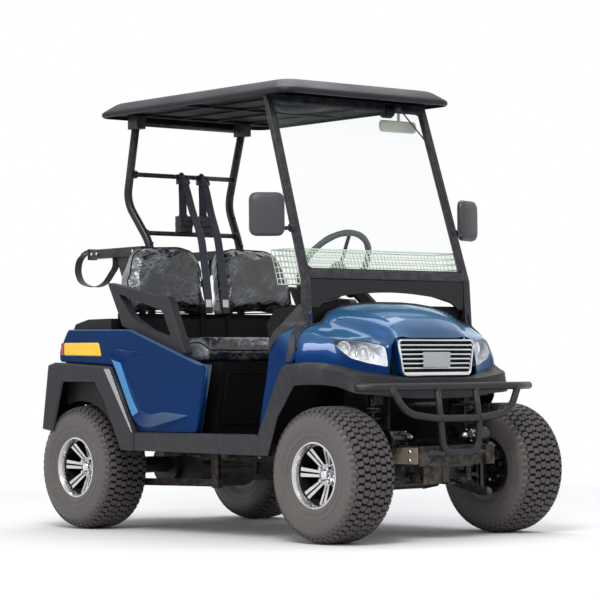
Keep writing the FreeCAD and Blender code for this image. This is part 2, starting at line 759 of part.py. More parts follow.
def front_subframe():
    """Plate and cross boxes between the front rails, with the arms' ears, a bracket and the shock towers."""
    pieces = [block(front - 170, front + 170, -rail_inner, rail_inner, rail_low, rail_low + plate),
              block(front - 150, front - 150 + member_width, -rail_inner, rail_inner, rail_low,
                    rail_low + rail_height - 20),
              block(front + 165, front + 165 + member_width, -rail_inner, rail_inner, rail_low, floor_low),
              block(front + 190, front + 190 + plate, -rail_inner, -member_width, rail_low - 76, rail_low)]
    ear_half = upper_arm_spread / 3 + running_gap
    for side in (1, -1):
        for dx in (-steer_arm_length, steer_arm_length):
            for x in (front + dx - ear_half - plate, front + dx + ear_half):
                ear = block(x, x + plate, lower_arm_y - arm_bush_radius, lower_arm_y + arm_bush_radius / 2,
                            lower_arm_z - arm_bush_radius - 4, rail_low + plate)
                pieces.append(on_side(ear, side))
    return fused(*pieces)


def shock_tower():
    cheek = 14.0
    high = shock_head_z + cheek
    pieces = [block(front - member_width, front + member_width, rail_outer, rail_outer + plate, rail_low + 30, high)]
    for x in (front - cheek - 2 * plate, front + cheek):
        pieces.append(block(x, x + 2 * plate, rail_outer, shock_head_y + 18, shock_head_z - 30, high))
    return fused(*pieces)


def track_rod():
    """Rack bar and its two tie-rods, one bar across the cart behind the axle."""
    pieces = [rod(V(rack_x, -steer_eye_y, rack_z), V(rack_x, steer_eye_y, rack_z), rack_radius)]
    for side in (1, -1):
        low = V(rack_x, side * steer_eye_y, rack_z - rack_radius - 2)
        top = V(rack_x, side * steer_eye_y, steer_arm_z - steer_arm_half - running_gap)
        pieces.append(tube([low, top], rack_radius))
    return fused(*pieces)


def rack_housing():
    casing = tube([V(rack_x, -rack_tube_half, rack_z), V(rack_x, rack_tube_half, rack_z)], rack_tube_radius)
    hanger = block(rack_x - plate, rack_x + plate, 20 - rack_tube_half, rack_tube_half - 20, rack_z,
                   rail_low - running_gap)
    bore = rod(V(rack_x, -rail_inner, rack_z), V(rack_x, rail_inner, rack_z), rack_radius + shaft_clearance)
    return fused(casing, hanger).cut(bore)


def floor_pan():
    half = side_panel_y - panel_return - 2.0
    rear = rail_kick_x + rail_ramp + 10
    wide = block(rear, well_front_x, -half, half, floor_low, floor_top)
    tongue = block(well_front_x, front - 262, -toe_half, toe_half, floor_low, floor_top)
    return fused(wide, tongue)


# Body panels
def rear_flare():
    y_in = side_panel_y - panel_return
    skin = shell_from_side(rear_flare_outline, y_in, body_half_width, panel_wall)
    hollow = block(-240, 260, y_in - 1, body_half_width - panel_wall, 300, 600)
    return skin.cut(hollow).cut(prism_xz(rear_arch, y_in - 10, body_half_width + 1))


def side_sill():
    _, (top_front, _, top_z), (low_front, _, low_z) = flare_stations[0]
    outline = [(467.3, sill_bottom), (467.3, sill_top), (top_front - running_gap, top_z),
               (low_front - running_gap, low_z)]
    skin = shell_from_side(outline, side_panel_y - panel_return, body_half_width - 6, panel_wall)
    return skin.cut(front_wheel_room(panel_wall + 6))


def front_wheel_room(skin):
    """Room behind the outer skin for the turned front tyre."""
    start = V(front, side_panel_y - panel_return - 1, tyre_radius)
    return rod(start, V(front, body_half_width - skin, tyre_radius), tyre_radius + 36.0)


def lookup(rows, value):
    for (low, here), (high, there) in zip(rows, rows[1:]):
        if value <= high:
            share = max(0.0, (value - low) / (high - low))
            return here + (there - here) * share
    return rows[-1][1]


def side_y(x, z):
    """How far out the body side stands at one place."""
    return lookup([(level, lookup(row, x)) for level, row in side_levels], z)


def moulding(stations, sides):
    """Charcoal moulding with a ledge under the panel above, a top, and an outer face."""
    sections = []
    for side, station in sides(stations):
        inner, outer, low = (V(x, side * y, z) for x, y, z in station)
        inward = V(inner.x - outer.x, inner.y - outer.y, 0).normalize()
        wall = inward * panel_wall
        drop = V(0, 0, panel_wall)
        ledge = inner + inward * moulding_ledge - V(0, 0, 1.5)
        sections.append([ledge, inner, outer, low, low + wall, outer + wall - drop, inner - drop, ledge - drop])
    return stacked(sections)


def front_flare():
    return moulding(flare_stations, lambda stations: [(1, station) for station in stations])


def front_bumper():
    def right_to_left(stations):
        return [(-1, station) for station in stations] + [(1, station) for station in reversed(stations[:-1])]
    return moulding(bumper_stations, right_to_left)


def side_panel():
    skin = shell_from_side(side_outline, side_panel_y - panel_return, side_panel_y, panel_wall)
    ridge = prism_xz(ridge_outline, side_panel_y - 1, side_panel_y + ridge_height)
    return fused(skin, ridge)


def cowl_side():
    """Blue cowl panel with its rear edge turned inwards."""
    sections = []
    for z, rear, ahead in cowl_rows:
        columns = [rear + (ahead - rear) * share for share in cowl_columns]
        outer = [V(x, side_y(x, z), z) for x in columns]
        inner = [V(max(p.x, rear + panel_wall), p.y - panel_wall, z) for p in reversed(outer)]
        deep = outer[0].y - panel_return
        sections.append(outer + inner + [V(rear + panel_wall, deep, z), V(rear, deep, z)])
    return stacked(sections)


def cowl_trim():
    """Forked moulding that runs from the screen's foot down over the cowl panel."""
    strips = []
    for rows in (trim_rear_rows, trim_front_rows):
        sections = []
        for z, rear, ahead in rows:
            columns = (rear, (rear + ahead) / 2, ahead)
            inner = [V(x, side_y(x, z) + running_gap, z) for x in columns]
            outer = [p + V(0, trim_height, 0) for p in reversed(inner)]
            sections.append(inner + outer)
        strips.append(stacked(sections))
    return fused(*strips)


# Hood, lamps and grille
def hood_solid(drop):
    """Closed shape under the hood's surface, lowered and narrowed by the drop."""
    sections = []
    for x, points in hood_stations:
        half = [V(x - drop, y * (1 - drop / points[-1][0]), z - drop) for y, z in points]
        foot = V(x - drop, half[-1].y, hood_low)
        right = [V(p.x, -p.y, p.z) for p in half[1:]]
        sections.append([V(foot.x, -foot.y, foot.z)] + right[::-1] + half + [foot])
    return stacked(sections)


def body_line_cut():
    """Everything below the tops of the flares and bumper."""
    tops = [(x, z + 3 * running_gap) for (x, _, z), _, _ in flare_stations[2:] + bumper_stations[1:]]
    outline = [(front - 250, hood_low - 50)] + tops + [(front + 200, tops[-1][1]), (front + 200, hood_low - 50)]
    return prism_xz(outline, -body_half_width, body_half_width)


def rear_line_cut():
    """Everything behind the hood's curved rear edge."""
    outline = [(x, -y) for x, y in hood_rear_plan] + [(x, y) for x, y in reversed(hood_rear_plan[:-1])]
    rear = front - 350
    return prism_xy([(rear, -body_half_width - 4)] + outline + [(rear, body_half_width + 4)], hood_low, 1100)


def hood():
    shell = hood_solid(0).cut(hood_solid(panel_wall)).cut(body_line_cut()).cut(rear_line_cut()).cut(grille_room())
    for side in (1, -1):
        shell = shell.cut(on_side(lamp_room(), side))
    return largest(shell)


def lamp_room():
    return prism_yz(lamp_outline, front - 120, front + 120)


def headlamp():
    face = polygon_face([V(0, y, z) for y, z in lamp_outline]).makeOffset2D(-running_gap)
    outline = face.extrude(V(240, 0, 0)).translated(V(front - 120, 0, 0))
    body = hood_solid(0).common(outline)
    return body.cut(hood_solid(0).translated(V(-lamp_depth, 0, 0)))


def grille_outline(grow):
    return [(-grille_half_top - grow, grille_top + grow), (grille_half_top + grow, grille_top + grow),
            (grille_half_bottom + grow, grille_bottom - grow), (-grille_half_bottom - grow, grille_bottom - grow)]


def grille_room():
    return prism_yz(grille_outline(running_gap), front + 40, front + 200)


def grille():
    rear = grille_face_x - grille_depth
    face = polygon_face([V(rear, y, z) for y, z in grille_outline(0)])
    surround = face.cut(face.makeOffset2D(-grille_border)).extrude(V(grille_depth, 0, 0))
    clip = prism_yz(grille_outline(-grille_border / 2), rear, grille_face_x)
    pieces = [surround]
    pitch = (grille_top - grille_bottom) / (grille_bars + 1)
    for index in range(grille_bars):
        z = grille_bottom + pitch * (index + 1)
        bar = block(rear + 4, rear + 16, -grille_half_top, grille_half_top, z - grille_bar_height / 2,
                    z + grille_bar_height / 2)
        pieces.append(bar.common(clip))
    pieces.append(block(rear + 6, rear + 20, -badge_half_width, badge_half_width, badge_low, badge_high))
    return fused(*pieces)


# Seats
def seat_base():
    half = seat_half_width - 24
    top = seat_low - running_gap
    outline = [(seat_box_rear_x, floor_top), (seat_box_rear_x, top), (seat_box_front_top_x, top),
               (seat_box_front_low_x, floor_top)]
    wall = seat_box_wall
    hollow = prism_xz([(seat_box_rear_x + wall, floor_top - 1), (seat_box_rear_x + wall, top + 1),
                       (seat_front_x - 24, top + 1), (seat_front_x - 24, top - wall),
                       (seat_box_front_top_x - 2 * wall, top - wall), (seat_box_front_low_x - wall, floor_top - 1)],
                      wall - half, half - wall)
    return prism_xz(outline, -half, half).cut(hollow)


def lid_hinge(y):
    """Barrel on the seat box; the lid's leaves turn beside it."""
    half = lid_hinge_length / 2
    barrel = rod(V(lid_axis_x, y - half, lid_axis_z), V(lid_axis_x, y + half, lid_axis_z), lid_pin_radius)
    foot = block(lid_axis_x + 1, lid_axis_x + 20, y - half, y + half, seat_low - 2, lid_axis_z)
    return fused(barrel, foot)


def battery_pack():
    rear = rail_kick_x + rail_ramp + 11
    return block(rear, battery_front_x, -battery_half_width, battery_half_width, floor_top, battery_top)


def back_base():
    low = seat_low - seat_box_wall
    high = back_low - running_gap
    ahead = seat_box_rear_x - running_gap
    half = seat_half_width
    wall = seat_box_wall
    box = block(plinth_rear_x, ahead, -half, half, low, high)
    return box.cut(block(plinth_rear_x + wall, ahead - wall, wall - half, half - wall, low - 1, high - wall))


def seat_cushion():
    pad = prism_xz(seat_side_profile, -seat_half_width, seat_half_width)
    half = lid_hinge_length / 2 + running_gap
    for y in (-lid_hinge_y, lid_hinge_y):
        pad = pad.cut(block(lid_axis_x - 12, lid_axis_x + 20, y - half, y + half, seat_low - 1, seat_low + 24))
        for low in (y - half - 10, y + half):
            leaf = fused(tube([V(lid_axis_x, low, lid_axis_z), V(lid_axis_x, low + 10, lid_axis_z)], lid_pin_radius),
                         block(lid_axis_x - 16, lid_axis_x, low, low + 10, lid_axis_z - 4, lid_axis_z + 4))
            pad = pad.fuse(leaf)
    return pad.removeSplitter()


def seat_back():
    slab = prism_yz(back_outline, 100, 400)
    low = back_low - 1
    high = back_high + 1
    side = [(back_foot_x, low), (back_foot_x - back_lean, high),
            (back_foot_x - back_lean - back_thickness * back_top_share, high), (back_foot_x - back_thickness, low)]
    return slab.common(prism_xz(side, 0, body_half_width))


def armrest():
    loop = prism_xz(arm_outer, arm_rest_y, side_panel_y - panel_return - running_gap)
    return loop.cut(prism_xz(arm_inner, arm_rest_y - 1, side_panel_y))


def belt_buckles():
    """Buckles on short stalks that stand in front of the plinth, behind the cushion."""
    pieces = []
    for y in buckle_y:
        stalk = block(seat_box_rear_x, seat_box_rear_x + 5, y - 12, y + 12, seat_low + 110, back_low + 20)
        buckle = block(seat_box_rear_x + 1, seat_box_rear_x + 13, y - 15, y + 15, back_low + 20, back_low + 60)
        pieces.append(fused(stalk, buckle))
    return Part.makeCompound(pieces)


# Rear body, posts, roof
def rear_body():
    half = side_panel_y - panel_return - running_gap
    shell = prism_xz(deck_outline, -half, half)
    shell = shell.cut(offset_prism_xz(deck_outline, panel_wall, panel_wall - half, half - panel_wall))
    shell = shell.cut(block(-90, plinth_rear_x - 6, panel_wall - half, half - panel_wall, deck_rail_top,
                            deck_rail_top + 40))
    clear = post_radius + 2
    for side in (1, -1):
        y = side * rear_post_y
        start = V(0, side * inner_limit_y, tyre_radius)
        shell = shell.cut(rod(start, start + V(0, side * 400, 0), tyre_radius + 22.0))
        shell = shell.cut(block(rear_post_x - clear, plinth_rear_x, y - clear, y + clear, 900, 960))
    return shell


def bag_well():
    base = deck_rail_top
    half = inner_limit_y
    ahead = -122.3
    outer = block(-rear_reach, ahead, -half, half, base, base + well_depth)
    inner = block(-rear_reach + well_wall, ahead + 20, well_wall - half, half - well_wall, base + well_wall,
                  base + well_depth + 10)
    lip = prism_xz([(-rear_reach - 1, base + well_depth / 2), (-rear_reach - 1, base + well_depth + 10),
                    (-200, base + well_depth + 10)], -half - 1, half + 1)
    return outer.cut(inner).cut(lip)


def rear_post(gap):
    points = [V(rear_post_x, rear_post_y, deck_rail_top), V(rear_post_x, rear_post_y, post_knee_low),
              V(*post_knee), V(*post_head, roof_edge_low - post_bend / 3)]
    return tube(points, post_radius + gap, post_bend)


def rear_posts():
    """Bent roof posts with the belt bar and the lower bar between them."""
    head_x, head_y = post_head
    top = roof_edge_low - post_bend / 3
    pieces = []
    for side in (1, -1):
        post = rear_post(0)
        pad = block(head_x - 30, head_x + 42, head_y - 24, head_y + 24, top - 14, roof_under - running_gap)
        foot = block(rear_post_x - 30, rear_post_x + member_width, rear_post_y - 50, rear_post_y + 25,
                     deck_rail_top, deck_rail_top + 8)
        for piece in (post, pad, foot):
            pieces.append(on_side(piece, side))
    pieces.append(tube([V(belt_bar_x, -belt_bar_y, belt_bar_z), V(belt_bar_x, belt_bar_y, belt_bar_z)],
                       belt_bar_radius))
    pieces.append(tube([V(low_bar_x, -rear_post_y - 5, low_bar_z), V(low_bar_x, rear_post_y + 5, low_bar_z)],
                       belt_bar_radius))
    for upright, _, _ in belts:
        pieces.append(block(belt_bar_x + 4, belt_bar_x + 30, upright - 20, upright + 20, belt_bar_z - 34,
                            belt_bar_z - 4))
    return fused(*pieces)


def seat_belts():
    """Retractors on the lower bar, upright webbing to the guides, and webbing down to the buckles."""
    pieces = []
    low = low_bar_z + belt_bar_radius + running_gap
    half = belt_width / 2
    web_x = belt_bar_x + 30 + running_gap
    guide_z = belt_bar_z - 20
    for upright, crest, tail in belts:
        box = block(web_x - 16, web_x + 34, upright - 38, upright + 38, low, low + retractor_high)
        web = block(web_x, web_x + belt_thickness, upright - half, upright + half, low + retractor_high, guide_z)
        sash = []
        for x, y, z in ((web_x, upright, guide_z), (248, crest, back_high + 8), (324, tail, back_low + 76),
                        (324, tail, back_low + 62)):
            sash.append([V(x, y - half, z), V(x, y + half, z), V(x + belt_thickness, y + half, z + 1),
                         V(x + belt_thickness, y - half, z + 1)])
        pieces.append(fused(box, web, stacked(sash)))
    return Part.makeCompound(pieces)


def bag_holder():
    """Bar and gusset behind one seat back."""
    ahead = rear_post_x - post_radius - running_gap
    bar = block(holder_rear_x, ahead, holder_y - holder_half, holder_y + holder_half, holder_low, holder_high)
    gusset = prism_xz(gusset_outline, holder_y - plate / 2, holder_y + plate / 2)
    return both_sides(fused(bar, gusset).cut(rear_post(running_gap)))


def bag_strap():
    y_low = holder_y - strap_width / 2
    band = prism_xz(strap_outline, y_low, y_low + strap_width)
    band = band.cut(offset_prism_xz(strap_outline, strap_thickness, y_low - 1, y_low + strap_width + 1))
    gap = running_gap
    bar_room = block(holder_rear_x + 8, 0, y_low - 1, y_low + strap_width + 1, holder_low - gap, holder_high + 20)
    bar = block(holder_rear_x - gap, 0, y_low - 1, y_low + strap_width + 1, holder_low - gap, holder_high + gap)
    gusset = prism_xz(gusset_outline, holder_y - plate / 2 - gap, holder_y + plate / 2 + gap)
    strap = band.cut(bar_room).cut(bar).cut(gusset)
    return both_sides(largest(strap))


def roof():
    sections = []
    for rise, inset in roof_levels:
        sections.append(rounded_plan(roof_rear_x + inset, roof_front_x - inset, roof_half_width - inset,
                                     roof_corner, roof_edge_low + rise))
    recess = [rounded_plan(roof_rear_x + inset, roof_front_x - inset, roof_half_width - inset,
                           roof_corner - roof_recess, z)
              for z, inset in ((roof_edge_low - 1, roof_recess), (roof_under, roof_recess + 6))]
    return stacked(sections).cut(stacked(recess))


# Windscreen
def screen_x(z):
    slope = (screen_base_x - screen_top_x) / (roof_edge_low - screen_base_z)
    return screen_base_x - slope * (z - screen_base_z)


def screen_half(z):
    share = (z - screen_base_z) / (roof_edge_low - screen_base_z)
    return screen_half_base + share * (screen_half_top - screen_half_base)


def header_back(z):
    return screen_x(z) - post_depth - running_gap


def windscreen_frame():
    top = roof_under - running_gap
    pieces = []
    for side in (1, -1):
        post = []
        for z in (screen_base_z, top):
            x = screen_x(z)
            outer = screen_half(z)
            post.append([V(x - post_depth, outer - post_width, z), V(x, outer - post_width, z), V(x, outer, z),
                         V(x - post_depth, outer, z)])
        leg = prism_xz([(screen_base_x - post_depth, screen_base_z), (screen_base_x, screen_base_z),
                        (screen_base_x + leg_foot_reach, leg_low), (screen_base_x - post_depth, leg_low)],
                       screen_half_base - post_width, screen_half_base)
        pieces += [on_side(stacked(post), side), on_side(leg, side)]
    for low in (screen_base_z, top - screen_rail):
        half = screen_half(low) - post_width + 4
        high = low + screen_rail
        pieces.append(prism_xz([(screen_x(high) - post_depth, high), (screen_x(high), high), (screen_x(low), low),
                                (screen_x(low) - post_depth, low)], -half, half))
    return fused(*pieces)


def windscreen_glass():
    low = screen_base_z + screen_rail + running_gap
    high = roof_under - running_gap - screen_rail - running_gap
    sections = []
    for z in (low, high):
        x = screen_x(z) - post_depth / 2
        half = screen_half(z) - post_width - running_gap
        sections.append([V(x, -half, z), V(x + glass_thickness, -half, z), V(x + glass_thickness, half, z),
                         V(x, half, z)])
    return stacked(sections)


def windscreen_fairing():
    inner = screen_half_base - post_width - running_gap
    widest = fairing_outline[0][0]
    outline = [(y * inner / widest, min(z, screen_base_z - running_gap)) for y, z in fairing_outline]
    return prism_yz(outline, screen_base_x - 2 - fairing_thickness, screen_base_x - 2)


def wiper():
    pivot = V(*wiper_pivot)
    knee = V(screen_x(wiper_knee[1]) + 14, *wiper_knee)
    tip = V(screen_x(wiper_tip[1]) + 12, *wiper_tip)
    spindle = tube([V(screen_x(pivot.z - 12) + running_gap, pivot.y, pivot.z), pivot + V(10, 0, 0)], 12.0)
    return fused(spindle, tube([pivot, knee], 5.0), tube([knee, tip], 6.0))


# Cabin front
def bulkhead():
    """Toe board, stepped back on each side to clear the turned front wheels."""
    wall = plate
    foot = front - 262
    knee = front - 216
    middle = [(foot, floor_top), (knee - wall, board_knee), (knee, board_knee), (foot + wall, floor_top)]
    side = [(well_front_x, floor_top), (well_front_x + 30, board_knee), (knee, board_knee),
            (front - 212, board_top), (front - 206, board_top), (front - 210, board_knee - wall),
            (well_front_x + 35, board_knee - wall), (well_front_x + wall, floor_top)]
    upper = [(knee - wall, board_knee), (front - 212, board_top), (front - 206, board_top),
             (knee, board_knee - wall)]
    cheek = [(well_front_x, floor_top), (well_front_x + 30, board_knee), (knee, board_knee),
             (foot + wall, floor_top)]
    board = [prism_xz(middle, -toe_half, toe_half), prism_xz(upper, -toe_half, toe_half)]
    for low in (-540, toe_half):
        board.append(prism_xz(side, low, low + 540 - toe_half))
    for low in (-toe_half, toe_half - wall):
        board.append(prism_xz(cheek, low, low + wall))
    return fused(*board)


def steering_axis():
    angle = math.radians(column_angle)
    return V(-math.cos(angle), 0, math.sin(angle))


def dashboard():
    outer = prism_xz(dash_outline, -dash_half, dash_half)
    inner = offset_prism_xz(dash_outline, plate, plate - dash_half, dash_half - plate)
    centre = V(steering_x, steering_y, steering_z)
    column_room = rod(centre, centre - steering_axis() * (column_length + 40), column_radius + running_gap)
    return outer.cut(inner).cut(column_room)


def steering_wheel():
    pieces = [grip_ring(grip_ring_radius, grip_radius, grip_chords, 8),
              tube([V(0, 0, -wheel_hub_drop), V(0, 0, -12)], wheel_hub_radius, sides=drum_sides)]
    for angle in (90, 210, 330):
        tip = V(math.cos(math.radians(angle)), math.sin(math.radians(angle)), 0) * (grip_ring_radius - 4)
        pieces.append(tube([V(0, 0, -30), tip], 9.0))
    wheel = fused(*pieces).cut(Part.makeCylinder(column_pin_radius + shaft_clearance, 20.0,
                                                 V(0, 0, -wheel_hub_drop)))
    wheel.Placement = FreeCAD.Placement(V(steering_x, steering_y, steering_z),
                                        FreeCAD.Rotation(V(0, 0, 1), steering_axis()))
    return wheel


def steering_column():
    centre = V(steering_x, steering_y, steering_z)
    axis = steering_axis()
    top = centre - axis * (wheel_hub_drop + running_gap)
    shroud = rod(top, centre - axis * column_length, column_radius)
    return fused(shroud, rod(centre - axis * (wheel_hub_drop - 18), top - axis, column_pin_radius))


def door_mirror(side, x, z, turn):
    deep, wide, tall = mirror_half
    outline = []
    for sign_y, sign_z in ((1, 1), (-1, 1), (-1, -1), (1, -1)):
        corner = [(sign_y * wide, sign_z * (tall - mirror_corner)), (sign_y * (wide - mirror_corner), sign_z * tall)]
        outline += corner if sign_y * sign_z > 0 else corner[::-1]
    head = prism_yz(outline, -deep, deep)
    head.rotate(V(0, 0, 0), V(0, 0, 1), turn)
    angle = math.radians(turn)
    y = mirror_reach - wide * math.cos(angle) - deep * math.sin(angle)
    head.translate(V(x, y, z))
    inside = screen_half(mirror_arm_z - 2 * mirror_arm_radius) + running_gap
    post = V(screen_x(mirror_arm_z) - post_depth / 2, inside - mirror_arm_radius, mirror_arm_z)
    arm = tube([post, V(x, y - wide / 4, z - tall / 2)], mirror_arm_radius)
    arm = arm.cut(block(post.x - 50, post.x + 50, 0, inside, 0, roof_under))
    return on_side(fused(head, arm), side)


def interior_mirror():
    head = block(1166, 1190, 230, 450, 1760, 1812)
    low, high = 1846.0, 1862.0
    arm = prism_xz([(1172, low), (header_back(low), low), (header_back(high), high), (1172, high)], 332, 348)
    return fused(head, tube([V(1180, 340, 1800), V(1180, 340, high)], 8.0), arm)


def dash_basket():
    outer = []
    inner = []
    wall = panel_wall
    for z, x in ((basket_low, screen_base_x - post_depth - running_gap), (basket_top, header_back(basket_top))):
        half = basket_half
        outer.append([V(x - basket_reach, -half, z), V(x, -half, z), V(x, half, z), V(x - basket_reach, half, z)])
        half = basket_half - wall
        high = z + wall if z == basket_low else z + 1
        inner.append([V(x - basket_reach + wall, -half, high), V(x - wall, -half, high), V(x - wall, half, high),
                      V(x - basket_reach + wall, half, high)])
    return stacked(outer).cut(stacked(inner))


def pedals():
    pieces = []
    for y, width in zip(pedal_y, pedal_widths):
        pad = prism_xz([(front - 330, 440), (front - 318, 436), (front - 262, 560), (front - 274, 566)],
                       y - width / 2, y + width / 2)
        foot = block(front - 336, front - 314, y - 12, y + 12, floor_top, 452)
        pieces.append(fused(pad, foot))
    return Part.makeCompound(pieces)


# Guard and small lamps
def brush_guard():
    bar = guard_bar_z
    top_bar = tube([V(guard_bar_x, -guard_bar_half, bar), V(guard_knee_x, -guard_knee_y, bar),
                    V(guard_knee_x, guard_knee_y, bar), V(guard_bar_x, guard_bar_half, bar)], guard_radius, 60.0)
    knee_x, knee_y, knee_z = guard_side_knee
    mid = guard_mid_y + 15
    hoop = tube([V(guard_knee_x, -guard_knee_y, bar), V(knee_x, -knee_y, knee_z), V(guard_front_x, -mid, guard_mid_z),
                 V(guard_front_x, mid, guard_mid_z), V(knee_x, knee_y, knee_z), V(guard_knee_x, guard_knee_y, bar)],
                guard_radius - 1, 40.0)
    foot = tube([V(guard_knee_x, -guard_mid_y, bar), V(guard_front_x - 1, -guard_mid_y, guard_mid_z - 20),
                 V(guard_front_x - 1, -guard_mid_y + 10, guard_foot_z), V(guard_front_x - 1, guard_mid_y - 10, guard_foot_z),
                 V(guard_front_x - 1, guard_mid_y, guard_mid_z - 20), V(guard_knee_x, guard_mid_y, bar)],
                guard_radius - 2, 40.0)
    stays = []
    for side in (1, -1):
        stay = tube([V(front + rail_front_reach - 20, rail_y, guard_foot_z - 4),
                     V(guard_front_x - 8, guard_mid_y - 24, guard_foot_z)], guard_radius - 4)
        stays.append(on_side(stay, side))
    return fused(top_bar, hoop, foot, *stays)


def tail_lamp():
    low, high = tail_lamp_z
    rear = deck_outline[-1][0] - running_gap
    return block(rear - 28, rear, tail_lamp_y - tail_lamp_half, tail_lamp_y + tail_lamp_half, low, high)


def marker_lamp():
    return prism_xz(marker_outline, side_panel_y + running_gap, side_panel_y + marker_height)


def flare_strip():
    return prism_xz(strip_outline, body_half_width + running_gap, body_half_width + 2)


rails = frame_rails()
members = cross_members()
parts["chassis_frame"] = rails
parts["cross_members"] = members
parts["front_subframe"] = Part.makeCompound([front_subframe(), both_sides(shock_tower())])
parts["suspension_arms"] = Part.makeCompound([trailing_links(), front_arms()])
parts["rear_axle"] = rear_axle()
parts["drive_motor"] = drive_motor()
parts["shock_absorbers"] = shock_absorbers()
parts["knuckle_left"] = knuckle()
parts["knuckle_right"] = mirrored(knuckle())
parts["track_rod"] = track_rod()
parts["rack_housing"] = rack_housing()
parts["floor_pan"] = floor_pan()
parts["rear_flares"] = both_sides(rear_flare())
parts["flare_strips"] = both_sides(flare_strip())
parts["front_flares"] = both_sides(front_flare())
parts["side_sills"] = both_sides(side_sill()).cut(parts["front_flares"])
parts["front_bumper"] = front_bumper()
parts["side_panels"] = both_sides(side_panel())
parts["seat_base"] = fused(seat_base().cut(rails).cut(members), lid_hinge(lid_hinge_y), lid_hinge(-lid_hinge_y))
parts["battery_pack"] = battery_pack()
parts["back_base"] = back_base()
parts["seat_cushion"] = seat_cushion()
parts["seat_backs"] = both_sides(seat_back())
parts["armrests"] = both_sides(armrest())
parts["belt_buckles"] = belt_buckles()
parts["rear_body"] = rear_body()
parts["bag_well"] = bag_well()
parts["rear_posts"] = rear_posts()
parts["roof"] = roof()
parts["windscreen_frame"] = windscreen_frame()
parts["windscreen_glass"] = windscreen_glass()
parts["windscreen_fairing"] = windscreen_fairing()
parts["wiper"] = wiper()
parts["hood"] = hood()
parts["grille"] = grille()
parts["headlamps"] = both_sides(headlamp())
cowl = largest(cowl_side().cut(parts["windscreen_frame"]))
parts["cowl_sides"] = both_sides(cowl)
parts["cowl_trims"] = both_sides(largest(cowl_trim().cut(parts["windscreen_frame"]).cut(cowl)))
parts["bulkhead"] = bulkhead()
parts["dashboard"] = dashboard()
parts["steering_wheel"] = steering_wheel()
parts["steering_column"] = steering_column()
parts["door_mirrors"] = Part.makeCompound([door_mirror(*pose) for pose in mirror_poses])
parts["interior_mirror"] = interior_mirror()
parts["dash_basket"] = dash_basket()
parts["seat_belts"] = seat_belts()
parts["bag_holder"] = bag_holder()
parts["bag_straps"] = bag_strap()
parts["pedals"] = pedals()
parts["brush_guard"] = brush_guard().cut(rails).cut(parts["front_subframe"])
parts["tail_lamps"] = both_sides(tail_lamp())
parts["marker_lamps"] = both_sides(marker_lamp())
place_wheels()

os.makedirs("parts", exist_ok=True)
for name, shape in parts.items():
    placed = shape.translated(V(-origin_x, 0, 0))
    placed.exportStep("parts/" + name + ".step")
    print(name, len(placed.Solids), placed.isValid(), round(placed.Volume / 1e6, 3))
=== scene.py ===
import bpy
import bmesh
import random
from math import copysign, cos, pi, radians, sin
from mathutils import Matrix, Vector, noise


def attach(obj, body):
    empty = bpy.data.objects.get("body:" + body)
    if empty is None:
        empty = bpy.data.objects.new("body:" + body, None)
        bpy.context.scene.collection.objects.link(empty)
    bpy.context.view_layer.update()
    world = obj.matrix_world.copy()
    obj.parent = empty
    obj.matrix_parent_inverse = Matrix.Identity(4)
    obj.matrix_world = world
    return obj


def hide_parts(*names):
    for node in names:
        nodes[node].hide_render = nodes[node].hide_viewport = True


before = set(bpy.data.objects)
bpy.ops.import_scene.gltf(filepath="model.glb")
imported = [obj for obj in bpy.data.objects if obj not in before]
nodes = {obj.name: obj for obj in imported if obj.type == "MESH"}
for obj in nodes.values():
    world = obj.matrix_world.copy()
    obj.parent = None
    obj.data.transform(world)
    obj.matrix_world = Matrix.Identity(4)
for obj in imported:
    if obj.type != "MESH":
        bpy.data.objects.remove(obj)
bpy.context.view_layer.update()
print("frame loaded")

cart = {"rearAxleX": 716, "wheelbase": 1650, "wheelY": 487, "tyreRadius": 279}  # millimetres, as are all forms below
leftRight = ((1, "left"), (-1, "right"))
square = ((-1, -1), (1, -1), (1, 1), (-1, 1))
xWay, yWay, zWay = Vector((1, 0, 0)), Vector((0, 1, 0)), Vector((0, 0, 1))


def at(x, y, z):  # millimetres from the rear axle, the middle and the ground, to the frame's metres
    return Vector(((x - cart["rearAxleX"]) / 1000, y / 1000, z / 1000))


def mix(a, b, share):
    return a + (b - a) * share


def lookUp(rows, value):  # value on a broken line of (place, value) rows
    for (low, here), (high, there) in zip(rows, rows[1:]):
        if value <= high:
            return mix(here, there, max(0.0, (value - low) / (high - low)))
    return rows[-1][1]


def smoothLine(points, steps):  # smooth curve that passes through every point and doesn't overshoot
    count = len(points)
    if count < 3:
        return [points[0].lerp(points[-1], i / steps) for i in range(steps + 1)]
    spans = [max((b - a).length, 1e-6) for a, b in zip(points, points[1:])]
    slopes = [(b - a) / span for a, b, span in zip(points, points[1:], spans)]
    tangents = [slopes[0]]
    for i in range(1, count - 1):
        before, after = spans[i - 1], spans[i]
        tangents.append((slopes[i - 1] * after + slopes[i] * before) / (before + after))
    tangents.append(slopes[-1])
    line = [points[0].copy()]
    for i in range(count - 1):
        for step in range(1, steps + 1):
            t = step / steps
            line.append(points[i] * (2 * t ** 3 - 3 * t ** 2 + 1) + points[i + 1] * (3 * t ** 2 - 2 * t ** 3)
                        + tangents[i] * spans[i] * (t ** 3 - 2 * t ** 2 + t)
                        + tangents[i + 1] * spans[i] * (t ** 3 - t ** 2))
    return line


def smoothed(sections, steps):  # more sections between the given ones
    return [list(section) for section in zip(*(smoothLine(line, steps) for line in zip(*sections)))]


